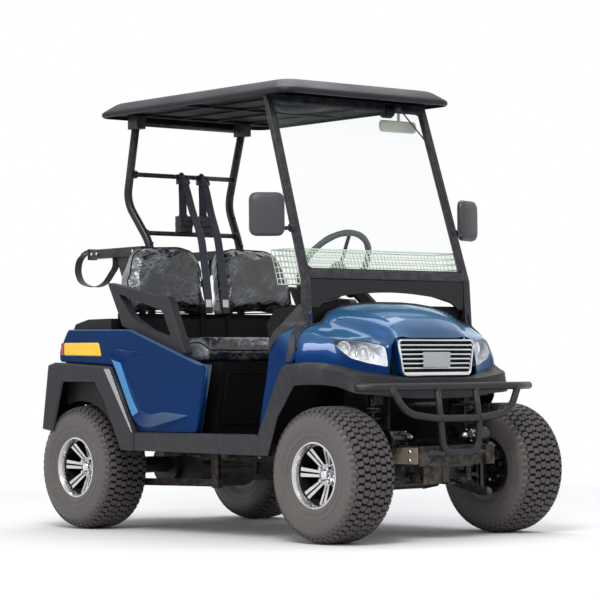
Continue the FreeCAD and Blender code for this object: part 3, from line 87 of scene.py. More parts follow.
class Shape:  # points and faces of one piece, each face with the number of its finish
    def __init__(self):
        self.points = []
        self.faces = []
        self.marks = []

    def add(self, points, faces, mark=0):
        base = len(self.points)
        self.points += [Vector(p) for p in points]
        self.faces += [[base + i for i in face] for face in faces]
        self.marks += [mark] * len(faces)

    def grid(self, rows, mark=0, around=False, across=False):  # sheet over rows of points
        wide = len(rows[0])
        faces = []
        for r in range(len(rows) if across else len(rows) - 1):
            after = (r + 1) % len(rows)
            for c in range(wide if around else wide - 1):
                n = (c + 1) % wide
                faces.append([r * wide + c, r * wide + n, after * wide + n, after * wide + c])
        self.add([p for row in rows for p in row], faces, mark)

    def loft(self, rings):  # closed form through rings of points
        self.grid(rings, around=True)
        self.add(rings[0], [list(range(len(rings[0])))[::-1]])
        self.add(rings[-1], [list(range(len(rings[-1])))])

    def prism(self, outline, push):  # flat outline pushed along a vector
        self.loft([[p.copy() for p in outline], [p + push for p in outline]])

    def block(self, low, high):
        outline = [at(x, y, low[2]) for x, y in ((low[0], low[1]), (high[0], low[1]), (high[0], high[1]),
                                                 (low[0], high[1]))]
        self.prism(outline, Vector((0, 0, (high[2] - low[2]) / 1000)))

    def sideBlock(self, side, low, high):  # block given for the left side, or the same one on the right
        near, far = sorted((side * low[1], side * high[1]))
        self.block((low[0], near, low[2]), (high[0], far, high[2]))

    def sweep(self, path, radius, sides=16, closed=False, flat=1.0):  # bar of round or flattened section
        rings = []
        count = len(path)
        across = None
        for i, here in enumerate(path):
            before = path[i - 1] if closed or i else path[0]
            after = path[(i + 1) % count] if closed or i < count - 1 else path[-1]
            heading = (after - before).normalized()
            if across is None:
                across = heading.cross(zWay)
                if across.length < 0.05:
                    across = heading.cross(yWay)
            across = (across - heading * across.dot(heading)).normalized()
            up = heading.cross(across)
            r = (radius[i] if isinstance(radius, list) else radius) / 1000
            rings.append([here + across * (r * cos(a)) + up * (r * flat * sin(a))
                          for a in (2 * pi * k / sides for k in range(sides))])
        if closed:
            self.grid(rings, around=True, across=True)
        else:
            self.loft(rings)

    def tube(self, path, radius, sides=16, flat=1.0):  # bar with softly rounded ends
        lead = (path[1] - path[0]).normalized() * (radius * 0.12 / 1000)
        tail = (path[-1] - path[-2]).normalized() * (radius * 0.12 / 1000)
        line = [path[0], path[0] + lead] + path[1:-1] + [path[-1] - tail, path[-1]]
        self.sweep(line, [radius * 0.86] + [radius] * (len(line) - 2) + [radius * 0.86], sides, flat=flat)

    def turn(self, profile, centre, axis, mark=0, steps=64, closed=False):  # (along, radius) profile about an axis
        axis = axis.normalized()
        side = axis.cross(zWay)
        if side.length < 0.05:
            side = axis.cross(xWay)
        side.normalize()
        up = axis.cross(side)
        rings = []
        for k in range(steps):
            a = 2 * pi * k / steps
            spoke = side * cos(a) + up * sin(a)
            rings.append([centre + axis * (along / 1000) + spoke * (r / 1000) for along, r in profile])
        self.grid(rings, mark, around=closed, across=True)

    def bolt(self, centre, axis, radius, high, topRadius, top, steps=6):  # head with a bevelled edge
        self.turn([(0, 0.3), (0, radius), (high, radius), (top, topRadius), (top, 0.3)], centre, axis, steps=steps)

    def bothSides(self):  # adds the mirror image
        base = len(self.points)
        self.points += [Vector((p.x, -p.y, p.z)) for p in self.points]
        self.faces += [[base + i for i in reversed(face)] for face in self.faces]
        self.marks += list(self.marks)
        return self

    def moved(self, matrix):
        self.points = [matrix @ p for p in self.points]
        return self

    def join(self, other):
        base = len(self.points)
        self.points += other.points
        self.faces += [[base + i for i in face] for face in other.faces]
        self.marks += other.marks


def arc(before, corner, after, bend, most, steps):  # soft turn at a corner, bend millimetres from it at most
    back, ahead = before - corner, after - corner
    reach = min(bend / 1000, back.length * most, ahead.length * most)
    start, end = corner + back.normalized() * reach, corner + ahead.normalized() * reach
    return [start * (1 - t) ** 2 + corner * 2 * t * (1 - t) + end * t ** 2
            for t in (k / steps for k in range(steps + 1))]


def rounded(corners, bend, steps=6):  # path with rounded corners
    path = [corners[0]]
    for before, corner, after in zip(corners, corners[1:], corners[2:]):
        path += arc(before, corner, after, bend, 0.48, steps)
    return path + [corners[-1]]


def softCorners(outline, bend, steps=4):  # closed flat outline with rounded corners
    result = []
    for i, corner in enumerate(outline):
        result += arc(outline[i - 1], corner, outline[(i + 1) % len(outline)], bend, 0.45, steps)
    return result


def link(thing):
    bpy.context.scene.collection.objects.link(thing)


def buildMesh(name, shape, finishes, angle):
    mesh = bpy.data.meshes.new(name)
    mesh.from_pydata([tuple(p) for p in shape.points], [], shape.faces)
    for finish in finishes:
        mesh.materials.append(finish)
    for polygon, mark in zip(mesh.polygons, shape.marks):
        polygon.material_index = mark
    work = bmesh.new()
    work.from_mesh(mesh)
    bmesh.ops.remove_doubles(work, verts=work.verts, dist=0.00002)
    bmesh.ops.recalc_face_normals(work, faces=work.faces)
    work.to_mesh(mesh)
    work.free()
    shade(mesh, angle)
    return mesh


def shade(mesh, angle):
    mesh.polygons.foreach_set("use_smooth", [True] * len(mesh.polygons))
    mesh.set_sharp_from_angle(angle=radians(angle))
    mesh.update()


def mirrored(half):  # path through places of the left side, from the right end to the left one
    return [at(x, -y, z) for x, y, z in half] + [at(x, y, z) for x, y, z in reversed(half)]


def soften(thing, bevel, steps, angle):
    edge = thing.modifiers.new("soft edges", "BEVEL")
    edge.width = bevel / 1000
    edge.segments = steps
    edge.limit_method = "ANGLE"
    edge.angle_limit = radians(angle)
    return edge


def piece(name, shape, finishes, body="chassis", stands=(), slot=None, bevel=0.0, steps=2, angle=35, wall=0.0):
    if not isinstance(finishes, list):
        finishes = [finishes]
    thing = bpy.data.objects.new(name, buildMesh(name, shape, finishes, angle))
    link(thing)
    if wall:
        skin = thing.modifiers.new("wall", "SOLIDIFY")
        skin.thickness = wall / 1000
        skin.offset = -1
    if bevel:
        soften(thing, bevel, steps, angle).harden_normals = True
    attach(thing, body)
    if stands:
        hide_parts(*stands)
    return thing


def settle(thing, angle=None):  # keeps what the modifiers make as the piece's own mesh
    bpy.context.view_layer.update()
    seen = thing.evaluated_get(bpy.context.evaluated_depsgraph_get())
    mesh = bpy.data.meshes.new_from_object(seen)
    old = thing.data
    thing.modifiers.clear()
    thing.data = mesh
    bpy.data.meshes.remove(old)
    if angle:
        shade(mesh, angle)
    return thing


def carve(thing, cutters, way="DIFFERENCE", angle=32):  # cuts closed shapes out of a piece, or keeps what they hold
    helpers = []
    for cutter in cutters:
        tool = bpy.data.objects.new("cutter", buildMesh("cutter", cutter, [], 30))
        link(tool)
        helpers.append(tool)
        cut = thing.modifiers.new("cut", "BOOLEAN")
        cut.operation = way
        cut.solver = "EXACT"
        cut.object = tool
    settle(thing, angle)
    for tool in helpers:
        mesh = tool.data
        bpy.data.objects.remove(tool)
        bpy.data.meshes.remove(mesh)
    return thing


def dress(finish, *names):  # finish of solids that stay in sight
    for name in names:
        nodes[name].data.materials.clear()
        nodes[name].data.materials.append(finish)


# Effects that several finishes share
def newGroup(name, takes, gives):  # takes holds each input's first value; an output called Colour is a colour
    group = bpy.data.node_groups.new(name, "ShaderNodeTree")
    for label, value in takes.items():
        kind = "NodeSocketColor" if isinstance(value, tuple) else "NodeSocketFloat"
        group.interface.new_socket(label, in_out="INPUT", socket_type=kind).default_value = value
    for label in gives:
        kind = "NodeSocketColor" if label == "Colour" else "NodeSocketFloat"
        group.interface.new_socket(label, in_out="OUTPUT", socket_type=kind)
    return group, group.nodes.new("NodeGroupInput").outputs, group.nodes.new("NodeGroupOutput")


def give(tree, made, values):  # sets a node's inputs: a socket is linked, anything else is the input's value
    for key, value in values.items():
        if isinstance(value, bpy.types.NodeSocket):
            tree.links.new(value, made.inputs[key])
        else:
            made.inputs[key].default_value = value


def node(tree, kind, values={}, **settings):
    made = tree.nodes.new(kind)
    for key, value in settings.items():
        setattr(made, key, value)
    give(tree, made, values)
    return made


def ramp(tree, source, low, high, dark=0.0, light=1.0):  # soft step of a value between two places
    return node(tree, "ShaderNodeMapRange", {"Value": source, "From Min": low, "From Max": high, "To Min": dark,
                                             "To Max": light}, interpolation_type="SMOOTHSTEP").outputs["Result"]


def sums(tree, operation, a, b=0.0):
    return node(tree, "ShaderNodeMath", {0: a, 1: b}, operation=operation).outputs[0]


def times(tree, first, *others):
    for other in others:
        first = sums(tree, "MULTIPLY", first, other)
    return first


def placed(tree):
    return node(tree, "ShaderNodeTexCoord").outputs["Object"]


def split(tree, vector):
    return node(tree, "ShaderNodeSeparateXYZ", {0: vector}).outputs


def facing(tree):  # which way the surface looks, as X, Y and Z
    return split(tree, node(tree, "ShaderNodeNewGeometry").outputs["Normal"])


def noiseAt(tree, place, scale, detail=4.0, rough=0.55, warp=0.0):
    return node(tree, "ShaderNodeTexNoise", {"Vector": place, "Scale": scale, "Detail": detail, "Roughness": rough,
                                             "Distortion": warp}).outputs["Fac"]


def tinted(tree, colour, level):
    return node(tree, "ShaderNodeVectorMath", {0: colour, "Scale": level}, operation="SCALE").outputs["Vector"]


def blendColour(tree, share, a, b):
    return node(tree, "ShaderNodeMix", {"Factor": share, "A": a, "B": b}, data_type="RGBA").outputs["Result"]


def bumped(tree, height, strength, distance):
    return node(tree, "ShaderNodeBump", {"Height": height, "Strength": strength,
                                         "Distance": distance}).outputs["Normal"]


def grainGroup():
    group, takes, gives = newGroup("Moulded Grain", {"Scale": 900.0, "Pits": 0.5}, ["Height"])
    place = placed(group)
    fine = noiseAt(group, place, takes["Scale"], 3.0)
    cells = node(group, "ShaderNodeTexVoronoi", {"Vector": place, "Scale": takes["Scale"]}, feature="SMOOTH_F1")
    pits = times(group, cells.outputs["Distance"], takes["Pits"])
    give(group, gives, {"Height": sums(group, "ADD", fine, pits)})
    return group


def driftGroup():
    group, takes, gives = newGroup("Colour Drift", {"Colour": (0.5, 0.5, 0.5, 1), "Amount": 0.15, "Scale": 7.0},
                                   ["Colour", "Value"])
    cloud = noiseAt(group, placed(group), takes["Scale"], 6.0, 0.6)
    swing = times(group, sums(group, "SUBTRACT", cloud, 0.5), 3.0, takes["Amount"])
    give(group, gives, {"Colour": tinted(group, takes["Colour"], sums(group, "ADD", swing, 1.0)), "Value": cloud})
    return group


def wearGroup():
    group, takes, gives = newGroup("Edge Wear", {"Reach": 0.5}, ["Mask"])
    edge = ramp(group, node(group, "ShaderNodeNewGeometry").outputs["Pointiness"], 0.505, 0.56)
    patches = ramp(group, noiseAt(group, placed(group), 34.0, 6.0, 0.7), 0.42, 0.62)
    give(group, gives, {"Mask": times(group, edge, patches, takes["Reach"])})
    return group


def dustGroup():  # settles below Top, and more on what looks up
    group, takes, gives = newGroup("Road Dust", {"Top": 0.5, "Amount": 0.4}, ["Mask"])
    place = placed(group)
    height = ramp(group, sums(group, "SUBTRACT", takes["Top"], split(group, place)["Z"]), -0.02, 0.32)
    speckle = ramp(group, noiseAt(group, place, 22.0, 8.0, 0.72), 0.38, 0.7)
    up = ramp(group, facing(group)["Z"], -0.2, 0.9, 0.45, 1.0)
    give(group, gives, {"Mask": times(group, height, speckle, up, takes["Amount"])})
    return group


def weaveGroup():
    group, takes, gives = newGroup("Webbing Weave", {"Scale": 260.0}, ["Height"])
    place = placed(group)
    bands = []
    for direction, share in (("Y", 0.7), ("Z", 0.5)):
        band = node(group, "ShaderNodeTexWave", {"Vector": place, "Scale": times(group, takes["Scale"], share),
                                                 "Distortion": 0.4, "Detail": 1.0},
                    wave_type="BANDS", bands_direction=direction)
        bands.append(band.outputs["Fac"])
    give(group, gives, {"Height": sums(group, "ADD", *bands)})
    return group


def crinkleGroup():  # clear film pulled tight: fine streaks that fan out over soft folds, as bumps and as a Creases mask that the vinyl uses for painted highlights
    group, takes, gives = newGroup("Film Crinkle", {"Scale": 9.0}, ["Height", "Creases"])
    place = placed(group)
    total = mask = None
    for angle, run, fine, width in ((0.7, 12.0, 2.2, 0.03), (0.25, 14.0, 4.5, 0.035), (-0.6, 12.0, 7.0, 0.04)):
        turned = node(group, "ShaderNodeMapping", {"Vector": place, "Rotation": (angle, 0.2, 0),
                                                   "Scale": (6.0, run, 0.8)}, vector_type="TEXTURE")
        cloud = noiseAt(group, turned.outputs["Vector"], times(group, takes["Scale"], fine), 2.0, 0.5, 0.1)
        fold = sums(group, "ABSOLUTE", sums(group, "SUBTRACT", cloud, 0.5))
        line = ramp(group, fold, 0.0, width, 1.0, 0.0)
        step = times(group, ramp(group, fold, 0.0, width * 4, 1.0, 0.0), 1.0 / fine)
        total = sums(group, "ADD", total, step) if total else step
        mask = sums(group, "MAXIMUM", mask, times(group, line, 0.75)) if mask else line
    patches = ramp(group, noiseAt(group, place, 6.0, 3.0, 0.6), 0.4, 0.68)
    give(group, gives, {"Height": total, "Creases": times(group, mask, patches)})
    return group


def flakeGroup():
    group, takes, gives = newGroup("Metal Flake", {"Colour": (0.02, 0.06, 0.25, 1), "Sparkle": 0.5},
                                   ["Colour", "Roughness"])
    place = placed(group)
    flakes = split(group, node(group, "ShaderNodeTexVoronoi", {"Vector": place, "Scale": 2600.0}).outputs["Color"])
    cloud = times(group, sums(group, "SUBTRACT", noiseAt(group, place, 3.0, 3.0), 0.5), 0.4)
    bright = times(group, ramp(group, flakes["X"], 0.5, 1.0), takes["Sparkle"])
    level = sums(group, "ADD", sums(group, "ADD", bright, 0.85), cloud)
    give(group, gives, {"Colour": tinted(group, takes["Colour"], level),
                        "Roughness": ramp(group, flakes["Y"], 0.0, 1.0, 0.28, 0.42)})
    return group


def turnedGroup():  # fine rings that a lathe leaves about the wheel's axis
    group, takes, gives = newGroup("Lathe Marks", {"Axle X": 0.0, "Scale": 900.0}, ["Height"])
    place = placed(group)
    parts = split(group, place)
    dx = sums(group, "SUBTRACT", parts["X"], takes["Axle X"])
    dz = sums(group, "SUBTRACT", parts["Z"], cart["tyreRadius"] / 1000)
    reach = sums(group, "SQRT", sums(group, "ADD", times(group, dx, dx), times(group, dz, dz)))
    rings = sums(group, "SINE", times(group, reach, takes["Scale"]))
    give(group, gives, {"Height": sums(group, "ADD", rings, noiseAt(group, place, 120.0, 3.0))})
    return group


effects = {
    "grain": grainGroup(), "drift": driftGroup(), "wear": wearGroup(), "dust": dustGroup(), "weave": weaveGroup(),
    "crinkle": crinkleGroup(), "flake": flakeGroup(), "turned": turnedGroup(),
}


def effect(tree, name, values):
    return node(tree, "ShaderNodeGroup", values, node_tree=effects[name]).outputs


def linear(colour):  # colour as a screen shows it, 0 to 255, to the shader's own values
    return tuple((c / 255 / 12.92) if c <= 10 else ((c / 255 + 0.055) / 1.055) ** 2.4 for c in colour) + (1.0,)


def blank(name):
    finish = bpy.data.materials.new(name)
    finish.use_nodes = True
    return finish, finish.node_tree, finish.node_tree.nodes["Principled BSDF"]


def rough(tree, cloud, level, spread):
    return ramp(tree, cloud, 0.25, 0.75, level - spread, level + spread)


def finishOf(name, colour, roughness, metallic=0.0, drift=0.12, driftScale=7.0, spread=0.08, grain=900.0, depth=0.12,
             pits=0.5, dust=0.0, dustTop=0.45, wear=0.0, wearColour=(84, 84, 88), coat=0.0, specular=0.5):
    finish, tree, shader = blank(name)
    base = effect(tree, "drift", {"Colour": linear(colour), "Amount": drift, "Scale": driftScale})
    shade, level = base["Colour"], rough(tree, base["Value"], roughness, spread)
    if wear:
        shade = blendColour(tree, effect(tree, "wear", {"Reach": wear})["Mask"], shade, linear(wearColour))
    if dust:
        dirt = effect(tree, "dust", {"Top": dustTop, "Amount": dust})["Mask"]
        shade = blendColour(tree, dirt, shade, linear((126, 112, 98)))
        level = sums(tree, "ADD", level, times(tree, dirt, 0.3))
    height = effect(tree, "grain", {"Scale": grain, "Pits": pits})["Height"]
    give(tree, shader, {"Base Color": shade, "Roughness": level, "Metallic": metallic, "Coat Weight": coat,
                        "Coat Roughness": 0.06, "Specular IOR Level": specular,
                        "Normal": bumped(tree, height, depth, 0.0006)})
    return finish


def paintFinish(name, colour):  # metallic blue with a painted sky reflection: paler where it looks up or turns away
    finish, tree, shader = blank(name)
    flake = effect(tree, "flake", {"Colour": linear(colour), "Sparkle": 0.45})
    turned = node(tree, "ShaderNodeLayerWeight", {"Blend": 0.35}).outputs["Facing"]
    up, paintedSkyReflection = facing(tree)["Z"], linear((84, 156, 204))
    # painted reflection: the colour turns light sky blue where the surface turns away and where it looks up
    shade = blendColour(tree, ramp(tree, turned, 0.35, 0.95, 0.0, 0.8), flake["Colour"], paintedSkyReflection)
    give(tree, shader, {"Base Color": blendColour(tree, ramp(tree, up, 0.3, 0.95, 0.0, 0.3), shade, paintedSkyReflection),
                        "Roughness": flake["Roughness"], "Metallic": 0.45, "Specular IOR Level": 0.05,
                        "Coat Weight": ramp(tree, up, 0.05, 0.6, 0.08, 0.8), "Coat Roughness": 0.03,
                        "Normal": bumped(tree, noiseAt(tree, placed(tree), 160.0, 2.0), 0.05, 0.001)})
    return finish


def filmedVinyl(name, colour):  # black vinyl under clear film, with painted sheen: whitish streaks along the film's creases and whitish faces that look sideways
    finish, tree, shader = blank(name)
    film = effect(tree, "crinkle", {"Scale": 9.0})
    base = effect(tree, "drift", {"Colour": linear(colour), "Amount": 0.3, "Scale": 9.0})
    gusset = ramp(tree, sums(tree, "ABSOLUTE", facing(tree)["Y"]), 0.55, 0.95, 0.0, 0.5)
    paintedSheenPatches = times(tree, gusset, ramp(tree, base["Value"], 0.3, 0.7, 0.5, 1.0))
    # painted sheen: the crease streaks and the sideways faces turn whitish
    creases = sums(tree, "MAXIMUM", times(tree, film["Creases"], 0.4), paintedSheenPatches)
    give(tree, shader, {"Base Color": blendColour(tree, creases, base["Colour"], linear((196, 204, 214))),
                        "Roughness": ramp(tree, base["Value"], 0.25, 0.75, 0.2, 0.32), "Specular IOR Level": 0.9,
                        "Normal": bumped(tree, film["Height"], 0.6, 0.003)})
    return finish


def glassFinish(name, tint, roughness, see, edge):  # thin pane, mostly clear, denser where it turns away
    finish, tree, shader = blank(name)
    cloud = effect(tree, "drift", {"Colour": linear(tint), "Amount": 0.05, "Scale": 3.0})
    turned = node(tree, "ShaderNodeLayerWeight", {"Blend": 0.25}).outputs["Facing"]
    give(tree, shader, {"Base Color": cloud["Colour"],
                        "Roughness": ramp(tree, cloud["Value"], 0.3, 0.8, roughness, roughness + 0.04),
                        "Alpha": ramp(tree, turned, 0.1, 1.0, 1.0 - see, edge)})
    return finish


def turnedMetal(name, colour, axleX):
    finish, tree, shader = blank(name)
    base = effect(tree, "drift", {"Colour": linear(colour), "Amount": 0.1, "Scale": 40.0})
    dirt = effect(tree, "dust", {"Top": 0.5, "Amount": 0.3})["Mask"]
    rings = effect(tree, "turned", {"Axle X": axleX, "Scale": 5200.0})["Height"]
    give(tree, shader, {"Base Color": blendColour(tree, dirt, base["Colour"], linear((110, 98, 84))),
                        "Roughness": rough(tree, base["Value"], 0.22, 0.08), "Metallic": 1.0,
                        "Normal": bumped(tree, rings, 0.06, 0.0004)})
    return finish


def webFinish(name, colour):
    finish, tree, shader = blank(name)
    base = effect(tree, "drift", {"Colour": linear(colour), "Amount": 0.2, "Scale": 30.0})
    weave = effect(tree, "weave", {"Scale": 240.0})["Height"]
    give(tree, shader, {"Base Color": base["Colour"], "Roughness": rough(tree, base["Value"], 0.72, 0.1),
                        "Sheen Weight": 0.3, "Normal": bumped(tree, weave, 0.5, 0.0008)})
    return finish


frontAxleX = (cart["wheelbase"] - cart["rearAxleX"]) / 1000
rearAxleX = -cart["rearAxleX"] / 1000
paint = paintFinish("Blue Clearcoat", (0, 46, 98))
# a lighter copy of the blue paint: painted highlight for the lit band of the side ridges
paintedHighlightBlue = paintFinish("Blue Painted Highlight", (78, 140, 194))
charcoal = finishOf("Charcoal Moulding", (38, 36, 42), 0.5, grain=620, depth=0.3, dust=0.3, dustTop=0.35, wear=0.3,
                    wearColour=(84, 82, 82), specular=0.35)
satinBlack = finishOf("Satin Black Steel", (28, 29, 35), 0.36, grain=420, depth=0.12, wear=0.3, specular=0.35)
glossBlack = finishOf("Gloss Black Panel", (20, 20, 26), 0.3, drift=0.2, grain=300, depth=0.04, coat=0.15,
                      specular=0.25)
guardGrey = finishOf("Powder Coated Guard", (32, 32, 37), 0.42, grain=820, depth=0.22, wear=0.35,
                     wearColour=(84, 82, 80), specular=0.35)
frameBlack = finishOf("Dusty Frame Black", (22, 21, 21), 0.55, grain=260, depth=0.25, dust=0.45, dustTop=0.5,
                      wear=0.5, wearColour=(98, 88, 78), specular=0.25)
frameBeige = finishOf("Dusty Rail Side", (142, 130, 113), 0.7, drift=0.3, driftScale=16, grain=200, depth=0.3)
castGrey = finishOf("Cast Iron", (46, 45, 45), 0.5, 0.55, grain=340, depth=0.5, dust=0.45, dustTop=0.45, drift=0.25)
gearBlack = finishOf("Oily Black Casting", (20, 20, 22), 0.26, 0.3, grain=240, depth=0.3, drift=0.3, coat=0.4)
zinc = finishOf("Bright Zinc", (186, 188, 190), 0.3, 1.0, grain=300, depth=0.15, drift=0.2, driftScale=60)
springSteel = finishOf("Spring Coils", (52, 54, 58), 0.34, 0.5, grain=500, depth=0.1, dust=0.35, dustTop=0.6)
floorRubber = finishOf("Floor Mat Rubber", (32, 32, 34), 0.75, grain=500, depth=0.4, dust=0.3, dustTop=0.5)
insideBlack = finishOf("Inside Plastic", (16, 16, 18), 0.55, grain=800, depth=0.3, specular=0.15)
deckBlack = finishOf("Deck Plastic", (24, 25, 28), 0.5, grain=620, depth=0.3, dust=0.1, dustTop=0.6, specular=0.25)
batteryGrey = finishOf("Battery Box", (56, 58, 62), 0.5, grain=500, depth=0.2)
vinyl = filmedVinyl("Filmed Vinyl", (26, 29, 36))
roofGrey = finishOf("Roof Panel", (19, 21, 32), 0.44, grain=520, depth=0.26, drift=0.1, driftScale=3, specular=0.35)
# darker than the roof top, for its underside and ribs: painted shade
roofUnderShade = finishOf("Roof Underside Painted Shade", (9, 9, 10), 0.6, grain=400, depth=0.2, drift=0.08, specular=0.08)
chrome = finishOf("Chrome Trim", (222, 224, 226), 0.08, 1.0, drift=0.05, spread=0.04, grain=90, depth=0.03)
grip = finishOf("Wheel Grip", (74, 76, 80), 0.5, grain=1100, depth=0.4)
mirrorShell = finishOf("Mirror Housing", (58, 57, 62), 0.4, grain=700, depth=0.2)
mirrorFace = finishOf("Mirror Face", (225, 228, 230), 0.03, 1.0, drift=0.02, spread=0.02, grain=40, depth=0.01)
creamWire = finishOf("Coated Wire", (206, 220, 206), 0.4, grain=500, depth=0.1, drift=0.08)
creamPlate = finishOf("Cream Plate", (206, 210, 196), 0.38, grain=400, depth=0.08, drift=0.06)
webbing = webFinish("Belt Webbing", (24, 30, 50))
strapWeb = webFinish("Bag Strap Webbing", (30, 31, 34))
tagWhite = finishOf("Belt Tag", (226, 226, 222), 0.6, grain=500, depth=0.1, drift=0.05)
redButton = finishOf("Red Button", (200, 34, 30), 0.35, grain=400, depth=0.05)
lampRed = finishOf("Red Lens", (168, 18, 20), 0.16, grain=120, depth=0.3, pits=1.2, coat=0.8)
lampAmber = finishOf("Amber Lens", (250, 200, 36), 0.25, grain=120, depth=0.2, pits=1.2, coat=0.3)
sideRubber = finishOf("Tyre Sidewall", (88, 82, 83), 0.5, drift=0.16, driftScale=9, spread=0.1, grain=420, depth=0.3,
                      dust=0.4, dustTop=0.62)
treadRubber = finishOf("Tyre Tread", (68, 63, 66), 0.66, drift=0.2, driftScale=14, grain=420, depth=0.35, dust=0.35,
                       dustTop=0.5)
# dark rubber for the groove floors between the lugs: painted shade
grooveShadeRubber = finishOf("Tyre Groove Painted Shade", (18, 17, 17), 0.8, drift=0.2, grain=420, depth=0.3, specular=0.1)
alloyFront = turnedMetal("Front Wheel Alloy", (214, 214, 216), frontAxleX)
alloyRear = turnedMetal("Rear Wheel Alloy", (214, 214, 216), rearAxleX)
# near-black for the rims' barrel inside and spoke sides: painted shade
paintedShadeBlack = finishOf("Wheel Painted Shade Black", (14, 14, 16), 0.25, grain=300, depth=0.1, dust=0.25, dustTop=0.4)
silver = finishOf("Silver Strip", (176, 180, 184), 0.28, 0.9, grain=400, depth=0.05, drift=0.06)
sealRubber = finishOf("Seal Rubber", (18, 18, 19), 0.6, grain=500, depth=0.2)
screenGlass = glassFinish("Windscreen Glass", (190, 222, 212), 0.0, 0.97, 0.35)
clearLens = glassFinish("Clear Lens", (244, 247, 250), 0.02, 0.985, 0.22)
reflector = finishOf("Lamp Reflector", (246, 248, 252), 0.14, 0.6, drift=0.05, grain=90, depth=0.03)
print("finishes ready")


def inset(outline, distance):  # flat outline of pairs of numbers made smaller all round
    area = sum(a[0] * b[1] - b[0] * a[1] for a, b in zip(outline, outline[1:] + outline[:1]))
    way = 1 if area > 0 else -1
    result = []
    for i, here in enumerate(outline):
        before = Vector(here) - Vector(outline[i - 1])
        after = Vector(outline[(i + 1) % len(outline)]) - Vector(here)
        first = Vector((-before.y, before.x)).normalized() * way
        second = Vector((-after.y, after.x)).normalized() * way
        middle = first + second
        push = middle * (distance / max(middle.dot(first), 0.45))
        result.append((here[0] + push.x, here[1] + push.y))
    return result


def sidePlate(shape, outline, yIn, yOut, chamfer=0.0, drop=0.0, bend=0.0):  # upright plate, its face chamfered
    rings = []
    levels = [(yIn, 0.0), (yOut - drop, 0.0), (yOut, chamfer)] if chamfer else [(yIn, 0.0), (yOut, 0.0)]
    for y, shrink in levels:
        ring = [at(x, y, z) for x, z in (inset(outline, shrink) if shrink else outline)]
        rings.append(softCorners(ring, bend, 4) if bend else ring)
    shape.loft(rings)


# Hood, with the openings for the lamps and the grille
hoodForm = {
    "stations": [
        (1440, [(0, 992), (170, 986), (335, 960), (430, 922), (505, 897), (562, 850), (590, 735)]),
        (1520, [(0, 973), (160, 966), (305, 937), (385, 896), (440, 880), (500, 850), (560, 738)]),
        (1563, [(0, 962), (150, 954), (278, 925), (348, 880), (404, 862), (466, 843), (524, 737)]),
        (1606, [(0, 946), (140, 938), (252, 911), (312, 866), (375, 848), (434, 834), (487, 733)]),
        (1651, [(0, 923), (130, 916), (230, 890), (272, 848), (340, 828), (402, 800), (446, 725)]),
        (1668, [(0, 913), (125, 906), (222, 882), (261, 840), (325, 812), (380, 780), (404, 712)]),
        (1706, [(0, 880), (120, 876), (208, 858), (243, 820), (280, 795), (306, 760), (315, 694)]),
        (1740, [(0, 836), (118, 835), (214, 831), (234, 809), (240, 770), (250, 722), (252, 684)]),
    ],
    "rearEdge": [(1507, 620), (1509, 552), (1494, 523), (1494, 456), (1500, 432), (1470, 340), (1462, 0)],
    "lamp": [(252, 714), (252, 804), (300, 820), (400, 832), (446, 830), (444, 806), (428, 779), (398, 752),
             (330, 731)],
    "grilleTop": (221.7, 828.7),
    "grilleFoot": (195.7, 676.3),
    "wall": 4.0,
    "stepsAcross": 7,
    "stepsAlong": 8,
}


def hoodRows(drop):
    rows = []
    for x, half in hoodForm["stations"]:
        foot = half[-1]
        points = [(y * (1 - drop / foot[0]), z - drop) for y, z in half]
        points.append((points[-1][0], foot[1] - 12))
        full = [(-y, z) for y, z in reversed(points[1:])] + points
        rows.append(smoothLine([at(x - drop, y, z) for y, z in full], hoodForm["stepsAcross"]))
    return smoothed(rows, hoodForm["stepsAlong"])


def shellBetween(outer, inner):  # closed shell between two sheets of rows
    shape = Shape()
    shape.grid(outer)
    shape.grid([row[::-1] for row in inner])
    for a, b in ((outer[0], inner[0]), (outer[-1], inner[-1]), ([r[0] for r in outer], [r[0] for r in inner]),
                 ([r[-1] for r in outer], [r[-1] for r in inner])):
        shape.grid([a, b])
    return shape


def hoodHeight(x, y):  # place on the hood over one point of the plan, both in millimetres
    place = at(x, y, 0)
    for before, after in zip(hoodOuter, hoodOuter[1:]):
        if before[0].x <= place.x <= after[0].x:
            share = (place.x - before[0].x) / (after[0].x - before[0].x)
            row = [a.lerp(b, share) for a, b in zip(before, after)]
            for a, b in zip(row, row[1:]):
                if a.y <= place.y <= b.y and b.y > a.y:
                    return a.lerp(b, (place.y - a.y) / (b.y - a.y))
    return place


def frontOutline(outline, xLow, xHigh, bend=0.0):  # closed cutter through the front, from a (Y, Z) outline
    shape = Shape()
    ring = [at(xLow, y, z) for y, z in outline]
    if bend:
        ring = softCorners(ring, bend, 6)
    shape.prism(ring, Vector(((xHigh - xLow) / 1000, 0, 0)))
    return shape


def planOutline(outline, zLow, zHigh):
    shape = Shape()
    shape.prism([at(x, y, zLow) for x, y in outline], Vector((0, 0, (zHigh - zLow) / 1000)))
    return shape


def grilleLoop(grow):
    (topHalf, top), (footHalf, foot) = hoodForm["grilleTop"], hoodForm["grilleFoot"]
    return [(-topHalf - grow, top + grow), (topHalf + grow, top + grow), (footHalf + grow, foot - grow),
            (-footHalf - grow, foot - grow)]


hoodOuter = hoodRows(0)
lampLeft = hoodForm["lamp"]
lampRight = [(-y, z) for y, z in reversed(lampLeft)]
rearPlan = [(x, -y) for x, y in hoodForm["rearEdge"]] + [(x, y) for x, y in reversed(hoodForm["rearEdge"][:-1])]
rearSmooth = smoothLine([Vector((x, y, 0)) for x, y in rearPlan], 4)
rearCut = planOutline([(1380, -660)] + [(p.x, p.y) for p in rearSmooth] + [(1380, 660)], 600, 1100)
hood = piece("hood_skin", shellBetween(hoodOuter, hoodRows(hoodForm["wall"])), paint, stands=("hood",),
             slot="paint_blue")
carve(hood, [rearCut, frontOutline(grilleLoop(3), 1660, 1800, 14), frontOutline(lampLeft, 1500, 1800, 12),
             frontOutline(lampRight, 1500, 1800, 12)], angle=38)

